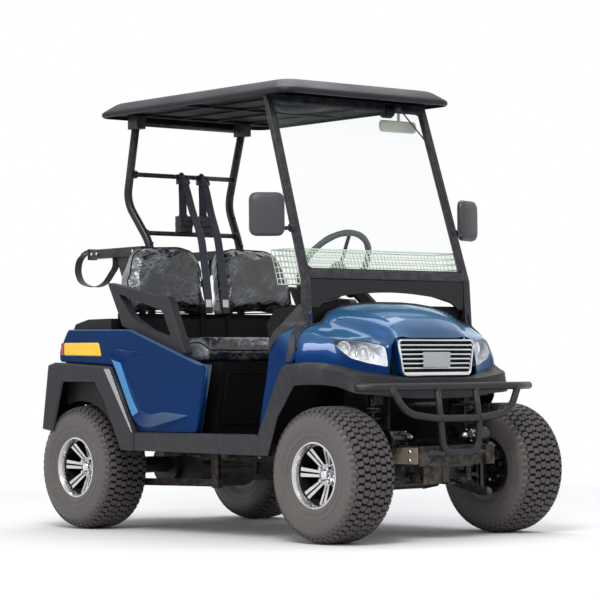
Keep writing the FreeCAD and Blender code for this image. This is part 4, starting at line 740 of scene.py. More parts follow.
# Rubber seal along the hood's rear edge, and the row of slots in front of it
seal = Shape()
edge = [hoodHeight(p.x - 2, p.y) + Vector((0, 0, 0.001)) for p in rearSmooth if abs(p.y) < 560]
seal.sweep(edge, 5, sides=8)
piece("hood_seal", seal, sealRubber)
louvres = {"count": 11, "firstY": 150, "pitch": 24, "x": 1508, "length": 30, "half": 3.2}
slots = Shape()
for i in range(louvres["count"]):
    y = louvres["firstY"] + louvres["pitch"] * i - 20
    for side in (-1, 1):
        a = hoodHeight(louvres["x"], side * y)
        b = hoodHeight(louvres["x"] + louvres["length"], side * (y - 16))
        slots.sweep([a.lerp(b, t / 6) for t in range(7)], [1.2, 2.6, 3.2, 3.2, 3.2, 2.6, 1.2], sides=8, flat=0.45)
piece("hood_louvres", slots, paint)


# Cowl panels beside the screen, with the forked moulding over them
cowlForm = {
    "levels": [
        (442, [(1300, 590), (1560, 590)]),
        (709, [(1300, 590), (1560, 590)]),
        (737, [(1300, 590), (1470, 590), (1500, 583), (1527, 564), (1581, 515)]),
        (790, [(1300, 590), (1440, 590), (1470, 580), (1500, 559), (1530, 532)]),
        (848, [(1300, 590), (1390, 588), (1440, 568), (1490, 530), (1520, 505)]),
        (897, [(1300, 572), (1370, 560), (1424, 526), (1500, 460)]),
        (950, [(1300, 523), (1400, 515), (1442, 496), (1500, 446)]),
        (1000, [(1300, 483), (1400, 480), (1442, 470), (1500, 430)]),
    ],
    "rows": [(442, 1302, 1321.5), (477, 1308, 1341), (588, 1332, 1400.5), (692, 1358, 1456.8), (709, 1361, 1466),
             (735, 1366, 1499), (738.5, 1366.5, 1505), (790, 1375, 1508), (848, 1386, 1493), (897, 1400, 1491),
             (950, 1429, 1491)],
    "trimRear": [(788, 1376, 1388), (827, 1382, 1410), (863, 1391, 1435), (897, 1401, 1454), (931, 1419, 1458),
                 (978, 1444, 1470)],
    "trimFront": [(739, 1479, 1500), (790, 1481, 1503), (848, 1466, 1485), (878, 1459, 1480), (897, 1453, 1481),
                  (937, 1457, 1483)],
    "return": 34,
    "trimHeight": 7,
}


def sideOut(x, z):
    return lookUp([(level, lookUp(row, x)) for level, row in cowlForm["levels"]], z)


cowl = Shape()
rows = []
for z, rear, ahead in cowlForm["rows"]:
    columns = [mix(rear, ahead, c / 10) for c in range(11)]
    rows.append([at(x, sideOut(x, z), z) for x in columns])
rows = [[row[0] - Vector((0, cowlForm["return"] / 1000, 0)), row[0] - Vector((0, 0.004, 0)),
         row[0] + Vector((0.004, 0, 0))] + row[1:] for row in smoothed(rows, 4)]
cowl.grid(rows)
piece("cowl_panels", cowl.bothSides(), paint, stands=("cowl_sides",), slot="paint_blue", wall=3, angle=40)
trims = Shape()
for key in ("trimRear", "trimFront"):
    sections = []
    for z, rear, ahead in cowlForm[key]:
        inner = [at(x, sideOut(x, z) - 1, z) for x in (rear, (rear + ahead) / 2, ahead)]
        high = cowlForm["trimHeight"] / 1000
        outer = [p + Vector((0, high, 0)) for p in reversed(inner)]
        sections.append(inner + outer)
    trims.loft(smoothed(sections, 5))
piece("cowl_mouldings", trims.bothSides(), charcoal, stands=("cowl_trims",), slot="trim_charcoal", bevel=2.2,
      steps=3)

# Front mouldings: stations of (inner top, outer top, lower edge)
frontTrim = {
    "flare": [
        ((1319.3, 576, 436), (1319.3, 610, 436), (1382.3, 610, 354)),
        ((1393, 576, 572), (1393, 610, 572), (1447, 609, 513)),
        ((1467, 576, 709), (1467, 610, 709), (1496, 602, 584)),
        ((1500, 576, 735), (1490, 608, 725), (1508, 588, 622)),
        ((1543.2, 542, 738), (1526.2, 569, 725), (1516.2, 580, 643)),
    ],
    "bumper": [
        ((1543.3, 542, 738), (1526.3, 569, 725), (1516.3, 580, 643)),
        ((1581, 509, 736), (1556, 540, 721), (1540, 556, 645)),
        ((1620, 475, 731), (1600, 506, 714), (1600, 508, 645)),
        ((1649, 446, 725), (1643, 485, 705), (1660, 475, 637)),
        ((1668, 399, 711), (1719, 443, 690), (1737, 441, 610)),
        ((1690, 345, 699), (1757, 330, 676), (1760, 330, 600)),
        ((1732, 262, 686), (1772, 245, 666), (1770, 245, 591)),
        ((1757, 196, 674), (1779, 150, 664), (1776, 150, 585)),
        ((1758, 0, 672), (1783, 0, 667), (1780, 0, 583)),
    ],
    "ledge": 14,
    "wall": 5,
}


def mouldingRing(inner, outer, low):
    inward = Vector((inner.x - outer.x, inner.y - outer.y, 0)).normalized()
    wall = inward * (frontTrim["wall"] / 1000)
    drop = Vector((0, 0, frontTrim["wall"] / 1000))
    ledge = inner + inward * (frontTrim["ledge"] / 1000) - Vector((0, 0, 0.0015))
    return [ledge, inner, outer, low, low + wall, outer + wall - drop, inner - drop, ledge - drop]


flares = Shape()
flares.loft([mouldingRing(*(at(*p) for p in station)) for station in frontTrim["flare"]])
piece("wheel_arch_front", flares.bothSides(), charcoal, stands=("front_flares",), slot="trim_charcoal", bevel=4.5,
      steps=4, angle=22)
bumper = Shape()
stations = [[at(*p) for p in station] for station in frontTrim["bumper"]]
stations = [[Vector((p.x, -p.y, p.z)) for p in s] for s in stations] + stations[-2::-1]
bumper.loft([mouldingRing(*section) for section in smoothed(stations, 4)])
piece("bumper_skin", bumper, charcoal, stands=("front_bumper",), slot="trim_charcoal", bevel=4, steps=3)

# Rear arches, sills and blue side panels
sideForm = {
    "arch": [(-232, 452), (-182, 745), (-128, 757), (284, 735), (467, 440), (467, 362), (372, 362), (247, 584),
             (178, 666), (-67, 668), (-146, 440)],
    "sill": [(467.3, 362), (467.3, 440), (1318.5, 436), (1381.5, 354)],
    "panel": [(-56, 906), (405, 896), (898, 738), (954, 735), (884, 441), (474, 441), (290, 738), (-122, 760),
              (-122, 812)],
    "ridge": [((540, 791), (541, 789)), ((405, 803), (451, 782)), ((312, 807), (398, 766)), ((283, 793), (376, 750)),
              ((314, 749), (380, 738)), ((443, 530), (491, 548)), ((463, 498), (503, 537)), ((743, 489), (673, 531)),
              ((834, 518), (836, 517))],
    "ridgeHigh": 21,
    "ridgeHighlightRows": (18, 28),
    "strip": [(256, 724), (299, 724), (466, 443), (458, 443)],
    "marker": [(-78, 845.5), (186, 842), (205, 781), (-78, 787.6)],
    "sliver": [(-104, 846), (-82, 845.6), (-82, 787.7), (-104, 788.1)],
    "inY": 556,
    "linerY": 386,
    "panelY": 590,
    "flareY": 616,
}


def topBand(shape, line, yIn, yOut):  # rim of a panel that turns inwards
    shape.grid([[at(x, y, z) for x, z in line] for y in (yIn, yOut)])


arches = Shape()
sidePlate(arches, sideForm["arch"], sideForm["flareY"] - 11, sideForm["flareY"], 9, 5)
piece("wheel_arch_rear", arches.bothSides(), charcoal, stands=("rear_flares",), slot="trim_charcoal", bevel=2.5,
      steps=3, angle=25)
rims = Shape()
topBand(rims, inset(sideForm["arch"], 0.5)[:5], sideForm["inY"], sideForm["flareY"] - 9)
piece("wheel_arch_rims", rims.bothSides(), charcoal, wall=4, slot="trim_charcoal")
liners = Shape()
topBand(liners, inset(sideForm["arch"], 1.5)[:5], sideForm["linerY"], sideForm["inY"] + 2)
piece("wheel_arch_liners", liners.bothSides(), insideBlack, wall=3)
sills = Shape()
sidePlate(sills, sideForm["sill"], 604, 610, 4, 3)
piece("sill_skins", sills.bothSides(), charcoal, stands=("side_sills",), slot="trim_charcoal", bevel=1.5,
      angle=25)
sillTops = Shape()
topBand(sillTops, [(467.3, 439.5), (1290, 436)], sideForm["inY"], 606)
piece("sill_tops", sillTops.bothSides(), charcoal, wall=4)
panels = Shape()
sidePlate(panels, sideForm["panel"], sideForm["panelY"] - 8, sideForm["panelY"], 5, 3, bend=18)
piece("side_skins", panels.bothSides(), paint, stands=("side_panels",), slot="paint_blue", bevel=2, steps=4, angle=22)
returns = Shape()
topBand(returns, inset(sideForm["panel"], 0.6)[:5], sideForm["inY"], sideForm["panelY"] - 5)
piece("side_returns", returns.bothSides(), paint, wall=4)
ridges = Shape()
sections = []
for number, (steep, gentle) in enumerate(sideForm["ridge"]):
    tall = sideForm["ridgeHigh"] if 0 < number < len(sideForm["ridge"]) - 1 else 1
    crest = [mix(a, b, 0.1) for a, b in zip(steep, gentle)]
    section = []
    foot = [mix(a, b, 0.72) for a, b in zip(steep, gentle)]
    for (x, z), lift in ((steep, -2), (crest, tall), (foot, tall * 0.36 + 1), (gentle, 1.2), (gentle, -2)):
        section.append(at(x, sideForm["panelY"] + lift, z))
    sections.append(section)
ridges.loft(smoothed(sections, 5))
# rows of the ridge's sloped band take the lighter blue as a painted highlight
for row in range(*sideForm["ridgeHighlightRows"]):
    ridges.marks[row * 5 + 1] = 1
piece("side_ridges", ridges.bothSides(), [paint, paintedHighlightBlue], bevel=2.0, steps=3, angle=30)
strips = Shape()
sidePlate(strips, sideForm["strip"], sideForm["flareY"] - 0.4, sideForm["flareY"] + 1.8)
piece("flare_bands", strips.bothSides(), silver, stands=("flare_strips",), slot="strip_silver", bevel=0.6)
markers = Shape()
sidePlate(markers, sideForm["marker"], sideForm["panelY"] - 0.5, sideForm["panelY"] + 7, 4, 4, bend=8)
piece("marker_lenses", markers.bothSides(), lampAmber, stands=("marker_lamps",), slot="lamp_amber", bevel=1,
      angle=20)
slivers = Shape()
sidePlate(slivers, sideForm["sliver"], sideForm["panelY"] - 0.5, sideForm["panelY"] + 6, 3, 4, bend=4)
piece("marker_slivers", slivers.bothSides(), lampRed, bevel=0.8)

# Rear deck, tail lamps and their chrome rims
tail = {"y": 480, "half": 45, "low": 770, "high": 840, "rear": -122.3, "levels": [(0, 0), (18, 0), (25, 5), (28, 14)]}
tails = Shape()
rings = []
for depth, shrink in tail["levels"]:
    ring = [at(tail["rear"] - depth, tail["y"] + sy * (tail["half"] - shrink), z + sz * shrink)
            for sy, sz, z in ((-1, 1, tail["low"]), (1, 1, tail["low"]), (1, -1, tail["high"]),
                              (-1, -1, tail["high"]))]
    rings.append(softCorners(ring, 16, 5))
tails.loft(rings)
piece("tail_lenses", tails.bothSides(), lampRed, stands=("tail_lamps",), slot="lamp_red", angle=50)
bezels = Shape()
bezels.sweep(rings[0], 3.5, closed=True, sides=8)
piece("tail_bezels", bezels.bothSides(), chrome)
dress(deckBlack, "rear_body", "bag_well")
dress(insideBlack, "back_base")
print("body done")

# Headlamps: clear lens over a bright bowl with two round projectors
lampForm = {
    "gap": 1.2, "lensWall": 2.5, "bowlDeep": 34, "bowls": [(385, 796, 26, 1610), (318, 776, 25, 1655)], "wallIn": 3.0,
    "flutes": 7, "fluteY": 292, "flutePitch": 19,
}


def clipped(name, outer, inner, outline, finish, **more):
    thing = piece(name, shellBetween(outer, inner), finish, **more)
    return carve(thing, [outline], "INTERSECT", 40)


for side, outline in ((1, lampLeft), (-1, lampRight)):
    word = "left" if side > 0 else "right"
    small = [(p[0], p[1]) for p in inset([tuple(q) for q in outline], lampForm["gap"])]
    window = frontOutline(small, 1500, 1800, 11)
    lens = clipped("lamp_lens_" + word, hoodRows(0.4), hoodRows(0.4 + lampForm["lensWall"]), window, clearLens,
                   slot="lamp_clear")
    if side > 0:
        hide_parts("headlamps")
    clipped("lamp_back_" + word, hoodRows(lampForm["bowlDeep"]), hoodRows(lampForm["bowlDeep"] + 3), window, reflector)
    rim = Shape()
    ringOut = softCorners([at(1500, y, z) for y, z in small], 11, 6)
    ringIn = softCorners([at(1500, y, z) for y, z in inset(small, lampForm["wallIn"])], 10, 6)
    length = Vector((0.3, 0, 0))
    count = len(ringOut)
    rim.add(ringOut + ringIn + [p + length for p in ringOut] + [p + length for p in ringIn],
            [f for i in range(count) for f in (
                [i, (i + 1) % count, count + (i + 1) % count, count + i],
                [2 * count + i, 3 * count + i, 3 * count + (i + 1) % count, 2 * count + (i + 1) % count],
                [i, 2 * count + i, 2 * count + (i + 1) % count, (i + 1) % count],
                [count + i, count + (i + 1) % count, 3 * count + (i + 1) % count, 3 * count + i])])
    wall = piece("lamp_wall_" + word, rim, reflector)
    between = shellBetween(hoodRows(3.2), hoodRows(lampForm["bowlDeep"] + 1))
    carve(wall, [between], "INTERSECT", 40)
    bowls = Shape()
    for y, z, radius, x in lampForm["bowls"]:
        centre = at(x, side * y, z)
        ahead = Vector((0.9, side * 0.42, 0.05))
        bowls.turn([(-26, 2), (-24, radius * 0.45), (-14, radius * 0.8), (0, radius), (3, radius + 2), (0, radius + 3),
                    (-16, radius + 1)], centre, ahead, steps=40)
        bowls.turn([(-22, 0.2), (-21, 7), (-12, 11), (-6, 8), (-3, 0.2)], centre, ahead, steps=24)
    piece("lamp_bowls_" + word, bowls, reflector, angle=50)
    flutes = Shape()
    for k in range(lampForm["flutes"]):
        y = lampForm["fluteY"] + k * lampForm["flutePitch"]
        a, b = at(1690 - k * 15, side * y, 748 + k * 2), at(1680 - k * 15, side * (y + 4), 808)
        flutes.sweep([a, b], 2.4, sides=6)
    piece("lamp_flutes_" + word, flutes, zinc)

# Grille: chrome surround, bars and a blank brushed plate over a dark mesh
grilleForm = {
    "face": 1760, "deep": 22, "border": 9, "bars": 6, "collar": [(1700, 2.4), (1752, 1.4), (1756, 0.2)],
    "plate": [(-76, 712), (76, 712), (79, 776), (-79, 776)], "meshX": 1741, "rowsOfMesh": 20, "columnsOfMesh": 41,
    "wire": 1.1, "backX": 1722,
}
face, border = grilleForm["face"], grilleForm["border"]
surround = Shape()
loopOut = softCorners([at(face, y, z) for y, z in grilleLoop(-0.6)], 22, 7)
loopIn = softCorners([at(face, y, z) for y, z in grilleLoop(-border)], 15, 7)
back = Vector((-grilleForm["deep"] / 1000, 0, 0))
crown = Vector((0.0045, 0, 0))
rings = []
for o, i in zip(loopOut, loopIn):
    rings.append([o + back, o, o.lerp(i, 0.3) + crown, o.lerp(i, 0.7) + crown, i, i + back])
surround.grid(rings, around=True, across=True)
piece("grille_surround", surround, chrome, stands=("grille",), slot="grille_chrome", angle=50)
collar = Shape()
collar.grid([softCorners([at(x, y, z) for y, z in grilleLoop(grow)], 22, 7) for x, grow in grilleForm["collar"]],
            around=True)
piece("grille_collar", collar, paint, wall=1.5)
bars = Shape()
(topHalf, top), (footHalf, foot) = hoodForm["grilleTop"], hoodForm["grilleFoot"]
pitch = (top - foot - 26) / (grilleForm["bars"] + 0.6)
for k in range(grilleForm["bars"]):
    z = foot + 24 + pitch * (k + 0.45)
    half = mix(footHalf, topHalf, (z - foot) / (top - foot)) - border + 2
    bars.sweep([at(face - 8, -half, z), at(face - 8, half, z)], 4.6, sides=14, flat=0.95)
half = footHalf - border + 3
bars.block((face - 18, -half, foot + 5), (face + 2, half, foot + 16))
piece("grille_bars", bars, chrome, bevel=0.8)
plate = Shape()
plate.prism(softCorners([at(face - 6, y, z) for y, z in grilleForm["plate"]], 6, 4), Vector((0.008, 0, 0)))
piece("grille_plate", plate, silver, bevel=1.6, steps=3)
mesh = Shape()
meshX, wire = grilleForm["meshX"], grilleForm["wire"]
for k in range(grilleForm["rowsOfMesh"]):
    z = foot + 8 + k * (top - foot - 16) / (grilleForm["rowsOfMesh"] - 1)
    half = mix(footHalf, topHalf, (z - foot) / (top - foot)) - 6
    mesh.sweep([at(meshX, -half, z), at(meshX, half, z)], wire, sides=5)
for k in range(grilleForm["columnsOfMesh"]):
    share = k / 20 - 1
    mesh.sweep([at(meshX, share * (footHalf - 7), foot + 5), at(meshX, share * (topHalf - 7), top - 5)], wire, sides=5)
piece("grille_mesh", mesh, satinBlack)
backing = Shape()
backing.prism([at(grilleForm["backX"], y, z) for y, z in grilleLoop(-3)], Vector((0.003, 0, 0)))
piece("grille_back", backing, insideBlack, bevel=1)

# Brush guard of bent round tube
guardForm = {
    "bar": 632, "barHalf": 500, "barX": 1806, "kneeX": 1872, "kneeY": 366, "radius": 16, "reach": 1896, "midY": 110,
    "midZ": 501, "foot": 362, "sideKnee": (1888, 300, 524),
}
g = guardForm
guard = Shape()
kneePoint = (g["kneeX"], g["kneeY"], g["bar"])
low = g["reach"] - 1
for half, bend, radius in (([(g["barX"], g["barHalf"], g["bar"]), kneePoint], 60, g["radius"]),
                           ([kneePoint, g["sideKnee"], (g["reach"], g["midY"] + 15, g["midZ"])], 70, g["radius"] - 1),
                           ([(g["kneeX"], g["midY"], g["bar"]), (low, g["midY"], g["midZ"] - 20),
                             (low, g["midY"] - 10, g["foot"])], 55, g["radius"] - 2)):
    guard.tube(rounded(mirrored(half), bend, 10), radius, sides=28)
for side in (1, -1):
    guard.tube([at(1855, side * 190, g["foot"] - 4), at(g["reach"] - 8, side * (g["midY"] - 24), g["foot"])],
               g["radius"] - 4, sides=20)
    guard.tube([at(1700, side * 150, 560), at(1884, side * (g["midY"] - 2), 560)], 9, sides=16)
piece("guard_tubes", guard, guardGrey, stands=("brush_guard",), slot="guard_grey", angle=50)
welds = Shape()
for side in (1, -1):
    for centre, axis, r in ((at(g["kneeX"] + 1, side * g["midY"], g["bar"] - 15), zWay, 16.5),
                            (at(g["reach"], side * g["midY"], g["midZ"] + 2), yWay, 17.5),
                            (at(g["kneeX"] - 1, side * (g["kneeY"] - 10), g["bar"] - 14), zWay, 17.5)):
        welds.turn([(-3, r * 0.95), (0, r * 1.08), (3, r * 0.95)], centre, axis, steps=28)
piece("guard_welds", welds, guardGrey)

# Below the bumper: cross tube with bolted ends, its brackets, and the hanging hook plate
lowForm = {
    "tube": (1752, 240, 424), "boltCircle": 26, "bolts": 6, "bracket": ((1722, 190, 386), (1782, 240, 394)),
    "profile": [(-44, 2), (-44, 30), (-38, 37), (40, 37), (46, 30), (52, 24), (70, 24), (72, 2)],
    "end": [(0, 0.4), (0, 17), (10, 17), (18, 10), (26, 10), (28, 0.4)],
    "hook": [((1836, -118, 300), (1848, 118, 386)), ((1842, -62, 236), (1850, -22, 304)), ((1842, -62, 230),
        (1884, -22, 238))],
}
lowFront = Shape()
bolts = Shape()
x, y, z = lowForm["tube"]
circle = lowForm["boltCircle"] / 1000
for side in (1, -1):
    centre = at(x, side * y, z)
    inward = Vector((0, -side, 0))
    lowFront.turn(lowForm["profile"], centre, inward, steps=40)
    lowFront.sideBlock(side, *lowForm["bracket"])
    for k in range(lowForm["bolts"]):
        a = k * pi / 3
        spot = centre + Vector((circle * cos(a), -side * 0.05, circle * sin(a)))
        bolts.turn([(-8, 0.3), (-8, 5.5), (4, 5.5), (6, 4), (6, 0.3)], spot, inward, steps=6)
    bolts.turn(lowForm["end"], centre + Vector((0, -side * 0.07, 0)), inward, steps=20)
for low, high in lowForm["hook"]:
    lowFront.block(low, high)
piece("front_cross_tube", lowFront, gearBlack, bevel=1.5, angle=40)
piece("front_tube_bolts", bolts, zinc, bevel=0.6, angle=40)
print("front done")


# Cushions: a slightly smaller form, blown up as cloth, then its piping
padForm = {
    "voxel": 0.009, "pressure": 4.0, "tension": 12, "bending": 0.6, "frames": 20,
    "creases": [(18, 0.0022), (44, 0.0009)], "seatCap": 0.022, "backCap": 0.026,
    "seatLevels": [(-494, 12), (-480, 0), (480, 0), (494, 12)],
    "seatSide": [(331, 750), (331, 834), (342, 841), (769, 841), (824, 817), (843, 786), (838, 750)],
    "backOutline": [(24, 956), (494, 966), (501, 1120), (454, 1246), (386, 1297), (140, 1305), (54, 1267), (25, 1190)],
    "backLow": 950, "backHigh": 1312, "foot": 296, "lean": 70, "thick": 92, "topShare": 0.55,
    "backLevels": [(0.96, 16), (0.8, 2), (0.2, 0), (0.03, 18)], "seatRoom": ((322, -502, 748.5), (853, 502, 856)),
    "backRoom": ((150, 14, 950.5), (318, 513, 1322)),
    "piping": [(346, -486, 842), (560, -490, 844), (780, -486, 838), (834, -470, 806), (838, 0, 808),
        (834, 470, 806), (780, 486, 838), (560, 490, 844), (346, 486, 842), (338, 0, 842)],
}


def blowUp(thing, cap, inside):
    remesh = thing.modifiers.new("remesh", "REMESH")
    remesh.mode = "VOXEL"
    remesh.voxel_size = padForm["voxel"] * 1
    settle(thing)
    start = [v.co.copy() for v in thing.data.vertices]
    cloth = thing.modifiers.new("cloth", "CLOTH")
    cloth.settings.use_pressure = True
    cloth.settings.uniform_pressure_force = padForm["pressure"]
    cloth.settings.effector_weights.gravity = 0
    cloth.settings.quality = 3
    cloth.settings.tension_stiffness = padForm["tension"]
    cloth.settings.bending_stiffness = padForm["bending"]
    cloth.point_cache.frame_end = padForm["frames"]
    for number in range(1, padForm["frames"] + 1):
        bpy.context.scene.frame_set(number)
    settle(thing)
    for vertex, old in zip(thing.data.vertices, start):
        move = vertex.co - old
        if move.length > cap:
            vertex.co = old + move.normalized() * cap
        crease = sum(noise.noise(vertex.co * fine) * high for fine, high in padForm["creases"])
        vertex.co += vertex.normal * crease
        vertex.co = Vector(min(max(c, low), high) for c, low, high in zip(vertex.co, *inside))
    fine = thing.modifiers.new("fine", "SUBSURF")
    fine.levels = fine.render_levels = 1
    settle(thing, 180)
    thing.data.materials.clear()
    thing.data.materials.append(vinyl)
    return thing


def onSurface(thing, points, proud):  # points moved to a piece's surface, a little proud of it
    result = []
    for point in points:
        found, place, normal, _ = thing.closest_point_on_mesh(point)
        result.append(place + normal * (proud / 1000) if found else point)
    return result


seatShape = Shape()
seatShape.loft([[at(x, y, z) for x, z in inset(padForm["seatSide"], shrink)] for y, shrink in padForm["seatLevels"]])
seatPad = piece("seat_pad", seatShape, vinyl, body="seat_lid", stands=("seat_cushion",), slot="seat_vinyl")
blowUp(seatPad, padForm["seatCap"], [at(*corner) for corner in padForm["seatRoom"]])
piping = Shape()
loop = [at(*place) for place in padForm["piping"]]
fine = []
for a, b in zip(loop, loop[1:] + loop[:1]):
    fine += [a.lerp(b, t / 12) for t in range(12)]
piping.sweep(onSurface(seatPad, fine, 0.6), 3.2, closed=True, sides=8)
piece("seat_piping", piping, insideBlack, body="seat_lid")


def backX(z):
    return padForm["foot"] - padForm["lean"] * (z - padForm["backLow"]) / (padForm["backHigh"] - padForm["backLow"])


def backDeep(z):
    share = (z - padForm["backLow"]) / (padForm["backHigh"] - padForm["backLow"])
    return padForm["thick"] * mix(1, padForm["topShare"], share)


for side, word in leftRight:
    form = Shape()
    rings = []
    for depth, shrink in padForm["backLevels"]:
        ring = inset(padForm["backOutline"], shrink) if shrink else padForm["backOutline"]
        ring = softCorners([Vector((y, z, 0)) for y, z in ring], 40000, 6)
        rings.append([at(backX(p.y) - backDeep(p.y) * depth, side * p.x, p.y) for p in ring])
    form.loft(rings)
    pad = piece("seat_back_pad_" + word, form, vinyl, slot="seat_vinyl")
    if side > 0:
        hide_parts("seat_backs")
    low, high = padForm["backRoom"]
    near, far = sorted((side * low[1], side * high[1]))
    blowUp(pad, padForm["backCap"], (at(low[0], near, low[2]), at(high[0], far, high[2])))
    welt = Shape()
    ring = softCorners([Vector((y, z, 0)) for y, z in inset(padForm["backOutline"], 10)], 40000, 12)
    line = [at(backX(p.y) - 4, side * p.x, p.y) for p in ring]
    welt.sweep(onSurface(pad, line, 0.5), 3.0, closed=True, sides=8)
    piece("seat_back_piping_" + word, welt, insideBlack)
railForm = {"low": (200, -496, 872), "high": (232, 496, 974), "boltsY": (-420, -250, -90, 90, 250, 420), "boltZ": 922}
rail = Shape()
rail.block(railForm["low"], railForm["high"])
for y in railForm["boltsY"]:
    rail.bolt(at(railForm["high"][0], y, railForm["boltZ"]), xWay, 11, 7, 7, 10, 12)
piece("back_rail", rail, insideBlack, bevel=3)
print("cushions done")

# Arm loops at both sides of the bench
armForm = {
    "outer": [(204, 1113), (557, 1043), (646, 1037), (772, 781), (740, 781), (311, 914), (296, 950)],
    "inner": [(282, 1060), (440, 1018), (606, 975), (672, 853), (513, 891), (388, 950)], "inY": 512, "outY": 555.5,
    "bevel": 11, "bosses": [(330, 962), (700, 812)],
}
for side, word in leftRight:
    loopShape = Shape()
    sidePlate(loopShape, armForm["outer"], side * armForm["inY"], side * armForm["outY"], bend=16)
    arm = piece("arm_loop_" + word, loopShape, charcoal, slot="trim_charcoal")
    hole = Shape()
    sidePlate(hole, armForm["inner"], side * (armForm["inY"] - 20), side * (armForm["outY"] + 20), bend=26)
    carve(arm, [hole])
    soften(arm, armForm["bevel"], 5, 50)
    if side > 0:
        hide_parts("armrests")
    bosses = Shape()
    for x, z in armForm["bosses"]:
        bosses.bolt(at(x, side * (armForm["inY"] + 1), z), Vector((0, -side, 0)), 12, 6, 9, 8, 24)
    piece("arm_bosses_" + word, bosses, satinBlack)


def ribbon(shape, path, width, thick, across=yWay):  # webbing with thicker edges along a path
    rings = []
    for i, here in enumerate(path):
        heading = (path[min(i + 1, len(path) - 1)] - path[max(i - 1, 0)]).normalized()
        side = (across - heading * across.dot(heading)).normalized()
        up = heading.cross(side)
        w, t = width / 2000, thick / 2000
        rings.append([here + side * w * a + up * t * b for a, b in (
            (1, 0), (0.94, 1), (0.55, 0.55), (0, 0.5), (-0.55, 0.55), (-0.94, 1), (-1, 0), (-0.94, -1),
            (-0.55, -0.55), (0, -0.5), (0.55, -0.55), (0.94, -1))])
    shape.loft(rings)


# Belts: retractors on the lower bar, guides on the belt bar, webbing down in front of the backs
beltForm = {
    "lines": [(-37, -50, -68), (82, 48, 32)], "webX": 99, "width": 46, "thick": 2.4, "guideZ": 1602,
    "retractorLow": 1361.3, "retractorHigh": 1435.3,
    "rise": [(99, 1427.3, 0), (98, 1520, 0), (99, 1596, 0), (103, 1609, 0), (112, 1594, 0.04), (178, 1455, 0.5),
        (251, 1322, 1)],
    "fall": [(276, 1230, 0.3), (306, 1108, 0.72), (322, 1038, 1), (324, 1000, 1)],
}
b = beltForm
for number, (upright, crest, tailY) in enumerate(b["lines"]):
    path = smoothLine([at(x, mix(upright, crest, share), z) for x, z, share in b["rise"]]
                      + [at(x, mix(crest, tailY, share), z) for x, z, share in b["fall"]], 7)
    strap = Shape()
    ribbon(strap, path, b["width"], b["thick"])
    length = sum((q - p).length for p, q in zip(path, path[1:]))
    web = piece("belt_web_" + str(number + 1), strap, webbing, slot="belt_webbing", angle=60)
    if number == 0:
        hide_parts("seat_belts")
    reel = Shape()
    low, high, x = b["retractorLow"], b["retractorHigh"], b["webX"]
    reel.block((x - 16, upright - 35, low - 4), (x + 28, upright + 35, high))
    reel.turn([(-37, 1), (-37, 22), (-34, 25), (34, 25), (37, 22), (37, 1)], at(x + 8, upright, low + 36),
              yWay, steps=32)
    reel.block((x - 10, upright - 20, high), (x + 12, upright + 20, high + 7))
    piece("belt_reel_" + str(number + 1), reel, satinBlack, bevel=3, steps=3, angle=40)
    guide = Shape()
    ring = softCorners([at(x - 18, upright - 34, b["guideZ"] + 26), at(x - 18, upright + 34, b["guideZ"] + 26),
                        at(x + 18, upright + 30, b["guideZ"] - 16), at(x + 18, upright - 30, b["guideZ"] - 16)],
                       14, 4)
    guide.sweep(ring, 4.5, closed=True, sides=10)
    guide.turn([(-9, 0.4), (-9, 13), (-3, 15), (6, 15), (10, 9), (12, 0.4)], at(x - 10, upright, b["guideZ"] + 24),
               Vector((1, 0, 0.3)), steps=24)
    piece("belt_guide_" + str(number + 1), guide, satinBlack)
    tag = Shape()
    end = path[-1]
    lead = path[-8]
    ribbon(tag, [lead.lerp(end, t / 4) + Vector((0.0022, 0, 0)) for t in range(5)], 34, 1.2)
    piece("belt_tag_" + str(number + 1), tag, tagWhite)
    tongue = Shape()
    tongue.block((318, tailY - 21, 974), (330, tailY + 21, 1004))
    piece("belt_tongue_" + str(number + 1), tongue, satinBlack, bevel=3, steps=3)
bars = Shape()
for upright, _, _ in b["lines"]:
    bars.block((71, upright - 19, b["guideZ"] - 16), (86, upright + 19, b["guideZ"] + 20))
piece("belt_guide_bars", bars, satinBlack, bevel=2)
buckleForm = {
    "y": (-92, 62, -440, 440), "x": 313, "stalk": [(306, 852), (309, 900), (312, 972)],
    "levels": [(966, 11, 6), (972, 16, 9), (1002, 17, 10), (1014, 17, 10), (1018, 14, 8)],
}
buckles = Shape()
buttons = Shape()
for y in buckleForm["y"]:
    buckles.sweep(smoothLine([at(x, y, z) for x, z in buckleForm["stalk"]], 6), 9, sides=10, flat=0.5)
    x = buckleForm["x"]
    buckles.loft([softCorners([at(x + sx * deep, y + sy * half, z) for sx, sy in square], 6, 3)
                  for z, half, deep in buckleForm["levels"]])
    buttons.block((x - 8, y - 12, 1010), (x + 8, y + 12, 1021))
piece("buckle_bodies", buckles, insideBlack, stands=("belt_buckles",), bevel=1, angle=50)
piece("buckle_buttons", buttons, redButton, bevel=2.2, steps=3)
print("belts done")

# Wire basket under the screen
basketForm = {
    "half": 474, "low": 1066, "high": 1212, "reach": 147, "lowX": 1449, "slope": 0.3214, "cell": 20, "levels": 6,
    "wire": 2.1, "rim": 3.6,
}
k = basketForm


def basketAt(z, share, y):  # share 0 is the side towards the seats, 1 the side towards the screen
    return at(k["lowX"] - (z - k["low"]) * k["slope"] - k["reach"] * (1 - share), y, z)


